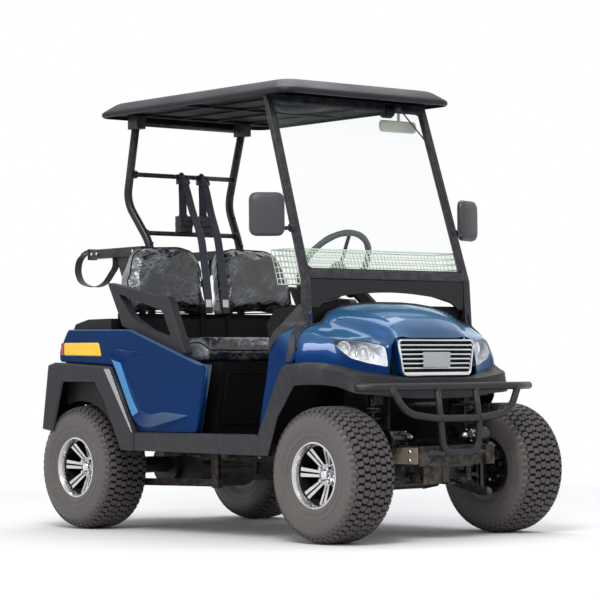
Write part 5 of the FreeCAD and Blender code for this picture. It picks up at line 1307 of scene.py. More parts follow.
wires = Shape()
half, low, high = k["half"], k["low"], k["high"]
columnsCount = int(2 * half / k["cell"])
for i in range(columnsCount + 1):
    y = mix(-half, half, i / columnsCount)
    wires.sweep([basketAt(high, 0, y), basketAt(low, 0, y), basketAt(low, 1, y), basketAt(high, 1, y)], k["wire"],
                sides=5)
for i in range(k["levels"] + 1):
    z = mix(low, high, i / k["levels"])
    ring = [basketAt(z, 0, -half), basketAt(z, 1, -half), basketAt(z, 1, half), basketAt(z, 0, half)]
    wires.sweep(softCorners(ring, 12, 3), k["rim"] if i == k["levels"] else k["wire"], closed=True, sides=6)
for share in (i / 6 for i in range(1, 6)):
    for y in (-half, half):
        wires.sweep([basketAt(high, share, y), basketAt(low, share, y)], k["wire"], sides=5)
    wires.sweep([basketAt(low, share, -half), basketAt(low, share, half)], k["wire"], sides=5)
piece("basket_wires", wires, creamWire, stands=("dash_basket",), slot="basket_wire", angle=60)

# Steering wheel on its axis, and the column's boot
wheelForm = {
    "centre": (888, 205, 1172), "angle": 37, "ring": 184, "grip": 14, "spokes": (90, 210, 330),
    "spoke": [(-0.032, 0.02), (-0.024, 0.07), (-0.008, 0.14), (0, 0.182)],
    "hub": [(-46, 1), (-46, 40), (-40, 42), (-20, 42), (-13, 38), (-11, 30), (-9, 27), (-9, 0.5)],
    "cap": [(-10, 0.3), (-10, 25), (-7, 25), (-5, 22), (-4, 0.3)], "bootFolds": 9, "bootPitch": 12,
}
w = wheelForm
tiltAngle = radians(w["angle"])
axis = Vector((-cos(tiltAngle), 0, sin(tiltAngle)))
side = yWay
up = axis.cross(side) * -1
if up.z < 0:
    up = -up
hubAt = at(*w["centre"])
steer = Shape()
ringPath = [hubAt + (side * cos(a) + up * sin(a)) * (w["ring"] / 1000)
            for a in (2 * pi * i / 96 for i in range(96))]
steer.sweep(ringPath, [w["grip"] + (0.9 if i % 8 < 4 else 0) for i in range(96)], closed=True, sides=18)
piece("wheel_ring", steer, grip, body="steering_wheel", stands=("steering_wheel",), slot="grip_black", angle=60)
spokes = Shape()
for degrees in w["spokes"]:
    a = radians(degrees)
    way = side * cos(a) + up * sin(a)
    spokes.sweep(smoothLine([hubAt + axis * along + way * out for along, out in w["spoke"]], 6), 10, sides=12,
                 flat=0.62)
spokes.turn(w["hub"], hubAt, axis, steps=48)
piece("wheel_spokes", spokes, insideBlack, body="steering_wheel", angle=50)
cap = Shape()
cap.turn(w["cap"], hubAt, axis, steps=40)
piece("wheel_cap", cap, satinBlack, body="steering_wheel", angle=50)
boot = Shape()
profile = []
for i in range(w["bootFolds"]):
    start = -70 - i * w["bootPitch"]
    profile += [(start, 33 + i * 1.4 + (i % 2) * 4), (start - 6, 35 + i * 1.4 + ((i + 1) % 2) * 4)]
boot.turn(profile, hubAt, axis, steps=32)
boot.sweep([hubAt - axis * 0.064 + side * -0.02, hubAt - axis * 0.07 + side * -0.1,
            hubAt - axis * 0.06 + side * -0.15], [6, 4.5, 7], sides=10)
piece("column_boot", boot, insideBlack, angle=50)

# Dashboard: gauge, switches, glove-box line; seat-box front; ribbed mat; pedal ribs
dashForm = {
    "gauges": [(205, 42), (120, 16), (296, 16)], "gaugeX": 1243, "gaugeZ": 940, "switches": (20, -20, -60),
    "gloveY": (-420, -120), "gloveZ": (838, 892),
}
dash = Shape()
gauge = Shape()
towards = Vector((-0.74, 0, 0.67))
for y, r in dashForm["gauges"]:
    centre = at(dashForm["gaugeX"], y, dashForm["gaugeZ"])
    gauge.turn([(0, r - 4), (0, r), (5, r), (7, r - 2), (6, r - 4)], centre, towards, steps=40)
    dash.turn([(0, 0.3), (0, r - 3), (2, r - 3), (2.6, 0.3)], centre, towards, steps=40)
for y in dashForm["switches"]:
    dash.block((1206, y - 14, 905), (1216, y + 14, 932))
for z in dashForm["gloveZ"]:
    dash.sweep([at(1224 - (z - 820) * 0.28, y, z) for y in dashForm["gloveY"]], 2.4, sides=8)
for y in dashForm["gloveY"]:
    dash.sweep([at(1219, y, 838), at(1204, y, 892)], 2.4, sides=8)
piece("dash_details", dash, satinBlack, bevel=1)
piece("gauge_rims", gauge, chrome, angle=50)
matForm = {"ribs": 31, "firstY": -535, "pitch": 35.6, "rear": 880, "front": 1287, "low": 400, "high": 403.5}
mat = Shape()
for i in range(matForm["ribs"]):
    y = matForm["firstY"] + i * matForm["pitch"]
    mat.block((matForm["rear"], y - 4, matForm["low"]), (matForm["front"], y + 4, matForm["high"]))
piece("mat_ribs", mat, floorRubber, bevel=1)
pedalForm = {"pads": [(90, 60), (175, 80)], "foot": (1320, 440), "top": (1376, 566), "ribs": 6}
ribs = Shape()
for y, width in pedalForm["pads"]:
    for i in range(pedalForm["ribs"]):
        x, z = (mix(foot, top, (i + 0.7) / 6.5) for foot, top in zip(pedalForm["foot"], pedalForm["top"]))
        ribs.sweep([at(x - 1.5, y - width / 2 + 5, z), at(x - 1.5, y + width / 2 - 5, z)], 2.6, sides=8)
piece("pedal_ribs", ribs, floorRubber)
boxForm = {
    "panels": (-310, 0, 310), "half": 138, "low": 480, "high": 700, "footX": 872, "footZ": 400, "slope": 0.1667,
}
box = Shape()
for y in boxForm["panels"]:
    ring = [(y + side * boxForm["half"], boxForm["high"] if up else boxForm["low"])
            for side, up in ((-1, 0), (1, 0), (1, 1), (-1, 1))]
    outline = [at(boxForm["footX"] + (z - boxForm["footZ"]) * boxForm["slope"] + 1, across, z) for across, z in ring]
    box.sweep(softCorners(outline, 24, 5), 3, closed=True, sides=8)
piece("seat_box_ribs", box, insideBlack)
dress(insideBlack, "seat_base", "dashboard", "bulkhead", "steering_column")
dress(floorRubber, "floor_pan")
dress(satinBlack, "pedals")
dress(batteryGrey, "battery_pack")
print("cabin done")

# Roof: a shallow dome with a rolled edge, low humps and a recessed underside, darker as painted shade
roofForm = {
    "rear": 42, "front": 1378, "half": 494, "edge": 1870, "corner": 70,
    "levels": [(0, 12), (1, 6), (6, 1), (14, 0), (20, 1), (25, 5), (34, 16), (47, 33), (58, 48), (64, 60),
        (69, 84), (73, 124), (76, 180), (78, 250), (79, 340)],
    "under": [(0, 12), (1, 15), (12, 19), (14.5, 25), (15, 43), (19, 123)], "chords": 14, "humpsY": (-125, 125),
    "humpX": 700, "humpHalf": (150, 85), "humpLow": 1944.5, "humpHigh": 7, "ribsY": (-300, -100, 100, 300),
    "crossX": (180, 620, 1180),
}


def roundedPlan(low, high, half, corner, z):
    centres = [(high - corner, half - corner), (low + corner, half - corner), (low + corner, corner - half),
               (high - corner, corner - half)]

    def onArc(number, quarters):
        x, y = centres[number % 4]
        a = pi / 2 * quarters
        return at(x + corner * cos(a), y + corner * sin(a), z)

    points = []
    for number in range(4):
        points += [onArc(number, number + chord / roofForm["chords"]) for chord in range(roofForm["chords"] + 1)]
        here, there = points[-1], onArc(number + 1, number + 1)
        points += [here.lerp(there, t / 12) for t in range(1, 12)]
    return points


r = roofForm
roofTop = Shape()
rings = []
for rise, shrink in r["levels"]:
    rings.append(roundedPlan(r["rear"] + shrink, r["front"] - shrink, r["half"] - shrink,
                             max(r["corner"] - shrink * 0.1, 30), r["edge"] + rise))
roofTop.grid(rings, around=True)
roofTop.add(rings[-1], [list(range(len(rings[-1])))])
under = [roundedPlan(r["rear"] + shrink, r["front"] - shrink, r["half"] - shrink, r["corner"] - 14, r["edge"] + z)
         for z, shrink in r["under"]]
# the underside takes the darker colour as painted shade
roofTop.grid(under, 1, around=True)
roofTop.add(under[-1], [list(range(len(under[-1])))], 1)
piece("roof_dome", roofTop, [roofGrey, roofUnderShade], stands=("roof",), slot="roof_grey", angle=40)
humps = Shape()
halfX, halfY = r["humpHalf"]
for middle in r["humpsY"]:
    rows = []
    for u in (i / 12 * 2 - 1 for i in range(13)):
        lifts = [(v, max(0.0, 1 - u ** 4) * max(0.0, 1 - v ** 4)) for v in (i / 12 * 2 - 1 for i in range(13))]
        rows.append([at(r["humpX"] + u * halfX, middle + v * halfY, r["humpLow"] + r["humpHigh"] * lift ** 0.6)
                     for v, lift in lifts])
    humps.grid(rows)
piece("roof_humps", humps, roofGrey, angle=60)
ribs = Shape()
for y in r["ribsY"]:
    ribs.tube([at(150, y, 1883), at(1190, y, 1883)], 7, sides=12, flat=0.6)
for x in r["crossX"]:
    ribs.block((x - 12, -440, 1878), (x + 12, 440, 1886))
piece("roof_ribs", ribs, roofUnderShade, bevel=2)

# Roof posts with their knees, belt bar and lower bar
postForm = {
    "x": 150, "y": 265, "knee": (17, 301, 1499), "kneeLow": 1290, "head": (108, 314), "radius": 19, "foot": 440,
    "headZ": 1842, "beltBar": (68, 1622, 293), "lowBar": (112, 1350, 268), "boltsZ": (1440, 1560, 1300),
    "lineX": [(1290, 150), (1499, 20), (1842, 108)], "lineY": [(1290, 265), (1499, 301), (1842, 314)],
    "plates": [((78, 290, 1826), (150, 338, 1883)), ((120, 215, 440), (200, 290, 448))],
}
p = postForm
posts = Shape()
for side in (1, -1):
    path = rounded([at(p["x"], side * p["y"], p["foot"]), at(p["x"], side * p["y"], p["kneeLow"]),
                    at(p["knee"][0], side * p["knee"][1], p["knee"][2]),
                    at(p["head"][0], side * p["head"][1], p["headZ"])], 62, 10)
    posts.tube(path, p["radius"], sides=24)
    for low, high in p["plates"]:
        posts.sideBlock(side, low, high)
for x, z, half in (p["beltBar"], p["lowBar"]):
    posts.tube([at(x, -half, z), at(x, half, z)], 11, sides=18)
posts.tube(rounded([at(60, -316, 1862), at(60, 316, 1862)], 10), 14, sides=18)
piece("roof_posts", posts, satinBlack, stands=("rear_posts",), slot="frame_black", angle=50)
postBits = Shape()
for side in (1, -1):
    for x, z, half in (p["beltBar"], p["lowBar"]):
        y = side * (half - 2)
        postBits.turn([(-8, 0.3), (-8, 17), (-3, 19), (3, 19), (8, 17), (8, 0.3)], at(x, y, z), yWay, steps=24)
        postBits.bolt(at(x - 12, y, z), Vector((-1, 0, 0)), 7, 5, 5, 6)
    for z in p["boltsZ"]:
        spot = at(lookUp(p["lineX"], z) + 17, side * lookUp(p["lineY"], z), z)
        postBits.bolt(spot, Vector((1, 0, 0.2)), 6, 6, 4, 8)
piece("post_fittings", postBits, satinBlack, angle=45)

# Windscreen: posts, rails, legs, pane, seal, fairing and wiper
screenForm = {
    "topX": 1224, "baseX": 1476, "baseZ": 1086, "topZ": 1883.7, "halfTop": 464, "halfBase": 481, "postWide": 38,
    "postDeep": 26, "rail": 40, "legLow": 842, "legReach": 14,
}
s = screenForm


def screenX(z):
    return s["baseX"] - (s["baseX"] - s["topX"]) / (1870 - s["baseZ"]) * (z - s["baseZ"])


def screenHalf(z):
    return s["halfBase"] + (z - s["baseZ"]) / (1870 - s["baseZ"]) * (s["halfTop"] - s["halfBase"])


frameShape = Shape()
for side in (1, -1):
    rings = []
    for x, half, z in ((s["baseX"] + s["legReach"], s["halfBase"], s["legLow"]),
                       (s["baseX"], s["halfBase"], s["baseZ"]),
                       (screenX(s["topZ"]), screenHalf(s["topZ"]), s["topZ"])):
        back = x - s["postDeep"] if z > s["legLow"] else s["baseX"] - s["postDeep"]
        ring = [at(back, side * (half - s["postWide"]), z), at(x, side * (half - s["postWide"]), z),
                at(x, side * half, z), at(back, side * half, z)]
        rings.append(softCorners(ring, 7, 4))
    frameShape.loft(rings)
for low in (s["baseZ"], s["topZ"] - s["rail"]):
    half = screenHalf(low) - s["postWide"] + 4
    high = low + s["rail"]
    ring = [at(screenX(high) - s["postDeep"], -half, high), at(screenX(high), -half, high),
            at(screenX(low), -half, low), at(screenX(low) - s["postDeep"], -half, low)]
    frameShape.prism(softCorners(ring, 6, 4), Vector((0, 2 * half / 1000, 0)))
piece("screen_frame", frameShape, satinBlack, stands=("windscreen_frame",), slot="panel_black", angle=40)
low, high = s["baseZ"] + s["rail"] + 0.3, s["topZ"] - s["rail"] - 0.3
pane = Shape()
rings = []
for z in (low, high):
    x, half = screenX(z) - s["postDeep"] / 2, screenHalf(z) - s["postWide"] - 0.3
    rings.append([at(x, -half, z), at(x + 5, -half, z), at(x + 5, half, z), at(x, half, z)])
pane.loft(rings)
piece("screen_pane", pane, screenGlass, stands=("windscreen_glass",), slot="screen_glass", angle=20)
gasket = Shape()
ring = [at(screenX(z) - 9, sign * (screenHalf(z) - s["postWide"]), z)
        for z, sign in ((low, -1), (high, -1), (high, 1), (low, 1))]
gasket.sweep(softCorners(ring, 30, 5), 5, closed=True, sides=8)
piece("screen_gasket", gasket, sealRubber)
fairingForm = {
    "outline": [(442.7, 962), (442.7, 1085.7), (-442.7, 1085.7), (-442.7, 962), (-409, 962), (-373, 990),
        (-253, 1018), (-120, 1030), (0, 1034), (120, 1030), (253, 1018), (373, 990), (409, 962)],
    "x": 1464, "levels": [(0, 0), (7, 0), (10, 3)],
}
fairing = Shape()
fairing.loft([softCorners([at(fairingForm["x"] + depth, y, z) for y, z in (
    inset(fairingForm["outline"], shrink) if shrink else fairingForm["outline"])], 16, 4)
    for depth, shrink in fairingForm["levels"]])
piece("screen_fairing", fairing, glossBlack, stands=("windscreen_fairing",), slot="panel_black", bevel=1.5)
lip = Shape()
lip.sweep(smoothLine([at(1474, y, z + 2) for y, z in fairingForm["outline"][4:]], 4), 3.5, sides=8)
piece("fairing_lip", lip, sealRubber)
wiperForm = {"pivot": (1262, 262, 1857), "knee": (430, 1680), "tip": (450, 1290), "motor": (1210, 262, 1846)}
wiper = Shape()
pivot = at(*wiperForm["pivot"])
knee, tip = (at(screenX(z) + proud, y, z) for proud, (y, z) in ((15, wiperForm["knee"]), (10, wiperForm["tip"])))
wiper.turn([(-12, 1), (-12, 11), (2, 12), (8, 9), (10, 1)], pivot, Vector((0.95, 0, 0.3)), steps=24)
wiper.tube(rounded([pivot + Vector((0.004, 0, 0)), knee, knee.lerp(tip, 0.3)], 30), 4.6, sides=12, flat=0.6)
ribbon(wiper, [knee.lerp(tip, t / 8) for t in range(9)], 9, 7, xWay)
piece("wiper_arm", wiper, satinBlack, stands=("wiper",), slot="panel_black", angle=50)
motor = Shape()
motor.turn([(-46, 1), (-46, 26), (-40, 30), (0, 30), (6, 26), (6, 1)], at(*wiperForm["motor"]), yWay, steps=32)
piece("wiper_motor", motor, insideBlack, angle=50)

# Door mirrors on their arms, and the interior mirror with its plate and console
mirrorForm = {
    "poses": [(-1, 1392, 1352, 30), (1, 1344, 1366, 17)], "half": (17, 75, 91), "corner": 36, "reach": 680,
    "armZ": 1300, "levels": [(-17, 0.93), (-14, 0.985), (-9, 1.0), (-2, 0.99), (7, 0.955), (13, 0.88), (17, 0.72)],
}
deep, wide, tall = mirrorForm["half"]
heads = Shape()
faces = Shape()
arms = Shape()
for side, x, z, turn in mirrorForm["poses"]:
    a = radians(turn)
    y = mirrorForm["reach"] - wide * cos(a) - deep * sin(a)
    head = Shape()
    rings = []
    for depth, scale in mirrorForm["levels"]:
        ring = [Vector((depth / 1000, sy * wide * scale / 1000, sz * tall * scale / 1000)) for sy, sz in square]
        rings.append(softCorners(ring, mirrorForm["corner"], 7))
    head.loft(rings)
    face = Shape()
    ring = softCorners([Vector(((-deep - 0.6) / 1000, sy * (wide - 9) / 1000, sz * (tall - 9) / 1000))
                        for sy, sz in square], 26, 7)
    face.prism(ring, Vector((0.002, 0, 0)))
    turned = Matrix.Translation(at(x, y, z)) @ Matrix.Rotation(a, 4, "Z")
    flip = Matrix.Scale(-1, 4, yWay) if side < 0 else Matrix.Identity(4)
    heads.join(head.moved(flip @ turned))
    faces.join(face.moved(flip @ turned))
    post = at(screenX(mirrorForm["armZ"]) - 13, side * (screenHalf(mirrorForm["armZ"]) - 2), mirrorForm["armZ"])
    foot = at(x, side * (y - wide / 4), z - tall * 0.48)
    arms.tube(rounded([post, foot.lerp(post, 0.4) + Vector((0, 0, -0.012)), foot], 30), 8.5, sides=16)
    arms.turn([(-2, 0.3), (-2, 19), (8, 19), (12, 15), (12, 0.3)], post, Vector((0, side, 0)), steps=28)
    arms.turn([(-14, 0.3), (-14, 11), (14, 11), (14, 0.3)], foot, Vector((0.2, 0, 1)), steps=24)
piece("mirror_heads", heads, mirrorShell, stands=("door_mirrors",), slot="mirror_shell", angle=40)
piece("mirror_faces", faces, mirrorFace)
piece("mirror_arms", arms, satinBlack, angle=45)
cabinMirror = {
    "place": (1166, 340, 1786), "half": (110, 26), "levels": [(0, 0.9), (4, 1.0), (14, 0.98), (22, 0.85), (24, 0.6)],
}
inner = Shape()
x, y, z = cabinMirror["place"]
wide, tall = cabinMirror["half"]
inner.loft([softCorners([at(x + depth, y + sy * wide * scale, z + sz * tall * scale) for sy, sz in square], 30, 6)
            for depth, scale in cabinMirror["levels"]])
inner.tube([at(x + 14, y, z + 20), at(x + 14, y, z + 72)], 7, sides=14)
inner.tube([at(x + 10, y, z + 68), at(x + 39, y, z + 68)], 8, sides=14)
piece("cabin_mirror", inner, creamPlate, stands=("interior_mirror",), slot="mirror_shell", angle=40)
consoleForm = {"place": (905, 10, 1883), "half": (150, 105), "deep": 30}
console = Shape()
x, y, z = consoleForm["place"]
long, wide = consoleForm["half"]
console.loft([[at(x + long * cos(a) * cos(t * 1.45), y + wide * sin(a) * cos(t * 1.45),
                  z - consoleForm["deep"] * sin(t * 1.5)) for a in (2 * pi * j / 28 for j in range(28))]
              for t in (i / 8 for i in range(9))])
piece("roof_console", console, insideBlack, angle=60)

# Bag holder bars with gussets, and the strap loops
bagForm = {
    "y": 286, "rear": -280, "ahead": 130, "low": 1244, "high": 1288, "half": 22,
    "gusset": [(-89, 1244), (40, 1244), (-2, 1180), (-29, 1118)],
    "strap": [(-268, 1290), (-326, 1275), (-384, 1238), (-395, 1190), (-375, 1148), (-300, 1117), (-242, 1113),
        (-178, 1129), (-132, 1166), (-95, 1206), (-94, 1245)],
    "width": 40, "thick": 3.2, "boltsX": (-250, -210, 70),
}
h = bagForm
holder = Shape()
ring = [at(h["rear"], h["y"] + sy * h["half"], z) for sy, z in ((-1, h["low"]), (1, h["low"]), (1, h["high"]),
                                                                (-1, h["high"]))]
holder.prism(softCorners(ring, 6, 4), Vector(((h["ahead"] - h["rear"]) / 1000, 0, 0)))
holder.prism([at(x, h["y"] - 3, z) for x, z in h["gusset"]], Vector((0, 0.006, 0)))
holder.block((h["rear"] - 4, h["y"] - 26, h["low"] - 4), (h["rear"] + 4, h["y"] + 26, h["high"] + 4))
piece("bag_bars", holder.bothSides(), satinBlack, stands=("bag_holder",), slot="frame_black", bevel=1.5)
fittings = Shape()
for x in h["boltsX"]:
    fittings.bolt(at(x, h["y"] + h["half"], (h["low"] + h["high"]) / 2), yWay, 8, 6, 6, 8)
piece("bag_bar_bolts", fittings.bothSides(), zinc)
for side, word in leftRight:
    line = smoothLine([at(x, side * h["y"], z) for x, z in h["strap"]], 8)
    band = Shape()
    ribbon(band, line, h["width"], h["thick"])
    strap = piece("bag_strap_" + word, band, strapWeb, slot="belt_webbing", angle=60)
    if side > 0:
        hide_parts("bag_straps")
    length = sum((b - a).length for a, b in zip(line, line[1:]))
    clip = Shape()
    ribbon(clip, [line[2], line[6], line[10]], 48, 9)
    piece("bag_clip_" + word, clip, satinBlack, bevel=1.5)
print("roof and screen done")

# Running gear: coil springs over the dampers, drum ribs and bolts, ball joints, hoses and cables
gearForm = {
    "front": [(1650, 282, 232), (1650, 262, 590)], "rear": [(-30, 330, 311), (-70, 268, 640)], "coil": 32,
    "wire": 5.5, "turns": 8, "drumFace": 486, "drumWide": 48,
    "damper": [(0, 1), (0, 14), (0.06, 18), (0.14, 22), (0.17, 38), (0.19, 38), (0.2, 22), (0.6, 22), (0.61, 10),
        (0.85, 10), (0.86, 38), (0.88, 38), (0.9, 12), (1, 12), (1, 1)],
    "ribs": [(-50, 90), (-36, 91), (-24, 91), (-12, 91)], "studCircle": 52, "jointY": 365, "jointsZ": (372, 186),
    "hose": [(-20, 343, 430), (-52, 316, 444), (-60, 285, 450), (-30, 240, 440), (-20, 222, 420)],
}
gf = gearForm


def coilOver(shape, rods, low, high):
    run = high - low
    heading = run.normalized()
    side = heading.cross(xWay).normalized()
    up = heading.cross(side)
    steps = gf["turns"] * 18
    path = []
    for i in range(steps + 1):
        t = i / steps
        a = 2 * pi * gf["turns"] * t
        path.append(low + run * mix(0.2, 0.86, t) + (side * cos(a) + up * sin(a)) * (gf["coil"] / 1000))
    shape.sweep(path, gf["wire"], sides=8)
    length = run.length * 1000
    rods.turn([(length * share, r) for share, r in gf["damper"]], low, heading, steps=28)


springs = Shape()
dampers = Shape()
for side in (1, -1):
    for axle in ("front", "rear"):
        foot, head = (at(x, side * y, z) for x, y, z in gf[axle])
        coilOver(springs, dampers, foot, head)
        if axle == "front":
            eye = head
    dampers.turn([(-13, 1), (-13, 13), (13, 13), (13, 1)], eye, xWay, steps=24)
piece("spring_coils", springs, springSteel, angle=60)
piece("damper_tubes", dampers, gearBlack, stands=("shock_absorbers",), slot="damper_black", angle=40)


def drumDress(shape, studs, x, side):
    face, high, circle = gf["drumFace"], cart["tyreRadius"], gf["studCircle"]
    for y, r in gf["ribs"]:
        shape.turn([(-2.5, 86), (-2.5, r), (2.5, r), (2.5, 86)], at(x, side * (face + y), high), yWay, steps=64,
                   closed=True)
    outward = Vector((0, side, 0))
    shape.turn([(0, 1), (0, 60), (-5, 70), (-9, 86), (-4, 90), (0, 90)],
               at(x, side * (face - gf["drumWide"] - 3), high), outward, steps=48)
    for k in range(6):
        a = pi / 3 * k + 0.3
        spot = at(x + circle * cos(a), side * (face - gf["drumWide"] - 4), high + circle * sin(a))
        studs.turn([(-10, 0.3), (-10, 7), (-2, 7), (-2, 0.3)], spot, outward, steps=6)


for word, x, side, body in (("front_left", cart["wheelbase"], 1, "knuckle_left"),
                            ("front_right", cart["wheelbase"], -1, "knuckle_right"),
                            ("rear_left", 0, 1, "chassis"), ("rear_right", 0, -1, "chassis")):
    drums = Shape()
    studs = Shape()
    drumDress(drums, studs, x, side)
    piece("drum_ribs_" + word, drums, gearBlack if "front" in word else castGrey, body=body, angle=40)
    piece("drum_bolts_" + word, studs, zinc, body=body, angle=40)
    if "front" in word:
        joints = Shape()
        for z in gf["jointsZ"]:
            joints.turn([(-16, 1), (-16, 13), (-10, 17), (8, 17), (14, 12), (18, 8), (18, 1)],
                        at(x, side * gf["jointY"], z), zWay, steps=24)
        piece("ball_joints_" + word, joints, zinc, angle=45)
        hose = Shape()
        hose.sweep(smoothLine([at(x + back, side * y, z) for back, y, z in gf["hose"]], 8), 5, sides=10)
        piece("brake_hose_" + word, hose, sealRubber)
bellowsForm = {"place": (1540, 118, 222), "folds": 8, "pitch": 11}
bellows = Shape()
x, y, z = bellowsForm["place"]
profile = []
for i in range(bellowsForm["folds"]):
    start = i * bellowsForm["pitch"]
    profile += [(start, 22 - i * 1.0), (start + 5.5, 27 - i * 1.2)]
for side in (1, -1):
    bellows.turn([(0, 10)] + profile + [(90, 12), (92, 10)], at(x, side * y, z), Vector((0, side, 0)), steps=32)
piece("rack_bellows", bellows, sealRubber, angle=60)
motorForm = {
    "axis": (190, 262), "fins": 12, "finReach": 86, "near": 40, "far": 226,
    "posts": [(150, 336), (190, 342), (230, 336)], "cables": [(0, 130), (12, 150)],
}
motorBits = Shape()
x, z = motorForm["axis"]
for k in range(motorForm["fins"]):
    a = 2 * pi * k / motorForm["fins"]
    motorBits.tube([at(x + motorForm["finReach"] * cos(a), y, z + motorForm["finReach"] * sin(a))
                    for y in (motorForm["near"], motorForm["far"])], 4, sides=8)
motorBits.turn([(0, 1), (0, 70), (8, 80), (12, 80), (12, 1)], at(x, 240, z), yWay, steps=48)
for x, z in motorForm["posts"]:
    motorBits.bolt(at(x, 130, z), zWay, 9, 16, 6, 18, 16)
piece("motor_details", motorBits, castGrey, angle=40)
cables = Shape()
for dx, y in motorForm["cables"]:
    cables.sweep(smoothLine([at(150 + dx * 3, 130, 356), at(170 + dx * 2, y + 20, 420), at(260, y + 30, 410),
                             at(380, y, 420), at(412, y, 440)], 8), 7, sides=10)
piece("motor_cables", cables, sealRubber)
railBits = {
    "boltsX": (430, 650, 860, 1080, 1280, 1450, 1820), "boltsZ": (330, 366), "face": 215, "skinLow": (1712, 216, 316),
    "skinHigh": (1868, 219, 384),
}
frameBits = Shape()
skirt = Shape()
for side in (1, -1):
    for x in railBits["boltsX"]:
        for z in railBits["boltsZ"]:
            frameBits.bolt(at(x, side * railBits["face"], z), Vector((0, side, 0)), 8, 5, 6, 7)
    skirt.sideBlock(side, railBits["skinLow"], railBits["skinHigh"])
piece("frame_bolts", frameBits, zinc, angle=40)
piece("rail_front_skins", skirt, frameBeige, bevel=0.8)
dress(frameBlack, "chassis_frame", "cross_members", "front_subframe", "suspension_arms")
dress(castGrey, "rear_axle", "drive_motor")
dress(gearBlack, "knuckle_left", "knuckle_right", "rack_housing")
dress(zinc, "track_rod")
print("running gear done")

# Wheels: carcass, wavy lugs, split-spoke rims
tyreForm = {
    "outer": [(0, 279), (40, 279), (72, 275.5), (95, 266), (108, 250), (114, 234), (117, 214), (117, 196),
        (114, 170), (106, 146), (97, 134), (92, 129)],
    "inner": [(92, 127.6), (60, 157.6), (-60, 157.6), (-92, 127.6)], "tread": 8.0, "pitches": 52, "steps": 144,
    "grooveEdge": 101, "phase": 0.02, "sideRings": [(112.5, 158), (116.6, 186)],
    "rows": [(-58, 6), (-29, -6), (0, 6), (29, -6), (58, 6)], "lug": (11.5 * 1.02, 14.2),
    "shoulder": (85, 11.5, 12.5, 3), "edge": (105, 9.5, 9.5, 0),
}


def tyreReach(out):
    return lookUp([(o, r) for o, r in tyreForm["outer"][:8]], abs(out))


def lug(shape, place, around, out, halfAround, halfOut, bow, turnSide):  # crescent block of the tread
    deep = tyreForm["tread"] + 1
    outline = []
    for i in range(12):
        a = 2 * pi * i / 12
        c, s2 = cos(a), sin(a)
        u = halfAround * copysign(abs(c) ** 0.55, c)
        v = halfOut * copysign(abs(s2) ** 0.55, s2)
        outline.append((u + bow * (1 - (v / halfOut) ** 2) * turnSide, v))
    foot = []
    mids = []
    tops = []
    for u, v in outline:
        o = out + v
        o = max(-113.5, min(113.5, o))
        reach = tyreReach(o)
        foot.append(place(around + u * 1.05, o, reach - deep))
        mids.append(place(around + u, o, reach - 1.6))
        tops.append(place(around + u * 0.9, out + (o - out) * 0.9, tyreReach(out + (o - out) * 0.9) - 0.1))
    centre = place(around, out, tyreReach(out) - 0.1)
    n = len(outline)
    points = foot + mids + tops + [centre]
    faces = []
    for i in range(n):
        j = (i + 1) % n
        faces += [[i, j, n + j, n + i], [n + i, n + j, 2 * n + j, 2 * n + i], [2 * n + i, 2 * n + j, 3 * n]]
    shape.add(points, faces, 2)


def buildTyre(name, x, side, body):
    hub = at(x, side * cart["wheelY"], cart["tyreRadius"])

    def place(around, out, reach):
        a = around / cart["tyreRadius"] + tyreForm["phase"]
        return hub + Vector((reach * cos(a), out, reach * sin(a))) / 1000

    carcass = Shape()
    half = []
    for o, reach in tyreForm["outer"]:
        sink = tyreForm["tread"] * max(0.0, min(1.0, (113 - o) / 8)) if o <= 113 else 0
        half.append((o, reach - sink))
    smooth = smoothLine([Vector((o, reach, 0)) for o, reach in half], 3)
    profile = [(v.x, v.y) for v in smooth]
    full = [(-o, reach) for o, reach in reversed(profile)] + profile[1:]
    carcass.turn(full + tyreForm["inner"], hub, yWay, steps=tyreForm["steps"], closed=True)
    # groove floor faces take the dark rubber as painted shade
    for number, face in enumerate(carcass.faces):
        middle = sum((carcass.points[i] for i in face), Vector()) / len(face) - hub
        if abs(middle.y) * 1000 < tyreForm["grooveEdge"] and (middle.x ** 2 + middle.z ** 2) ** 0.5 > 0.2:
            carcass.marks[number] = 1
    for o, reach in tyreForm["sideRings"]:
        for sign in (1, -1):
            carcass.turn([(sign * (o + out), reach + along) for out, along in (
                (-2, -2.2), (0.8, -0.8), (0.8, 0.8), (-2, 2.2))], hub, yWay, steps=96, closed=True)
    count = tyreForm["pitches"]
    pitch = 2 * pi * cart["tyreRadius"] / count
    dice = random.Random(7)
    for k in range(count):
        for row, (out, bow) in enumerate(tyreForm["rows"]):
            shift = pitch * (0.5 if row % 2 else 0.0)
            lug(carcass, place, pitch * k + shift + dice.uniform(-0.4, 0.4), out, *tyreForm["lug"], bow, side)
        for sign in (-1, 1):
            for (out, *form), around in ((tyreForm["shoulder"], pitch * (k + 0.5)), (tyreForm["edge"], pitch * k + 3)):
                lug(carcass, place, around, sign * out, *form, side)
    piece("tread_" + name, carcass, [sideRubber, grooveShadeRubber, treadRubber], body=body, stands=("tyre_" + name,),
          slot="tyre_rubber", angle=34)


rimForm = {
    "lip": [(-105, 137), (-97, 127), (97, 127), (101, 130), (103, 135), (106, 136.5), (108, 133), (107, 129),
        (101, 126), (91, 121), (83, 118.5)],
    "barrel": [(83, 118.5), (60, 117), (-105, 119), (-105, 137)],
    "back": [(3, 1), (3, 58), (-4, 62), (2, 62), (10, 52), (12, 1)],
    "centre": [(8, 1), (8, 48), (28, 50), (35, 47), (38, 42), (34, 33), (33, 1)],
    "cap": [(32, 25), (46, 25), (55, 21), (61, 14), (63, 0.3)],
    "section": [(-1, -1), (1, -1), (1, -0.18), (0.86, 0.0), (-0.86, 0.0), (-1, -0.18)], "hubOut": 36, "rise": 38,
    "spokes": 7, "firstSpoke": 0.35, "nuts": 4, "nutCircle": 36, "studCircle": 124.5,
}


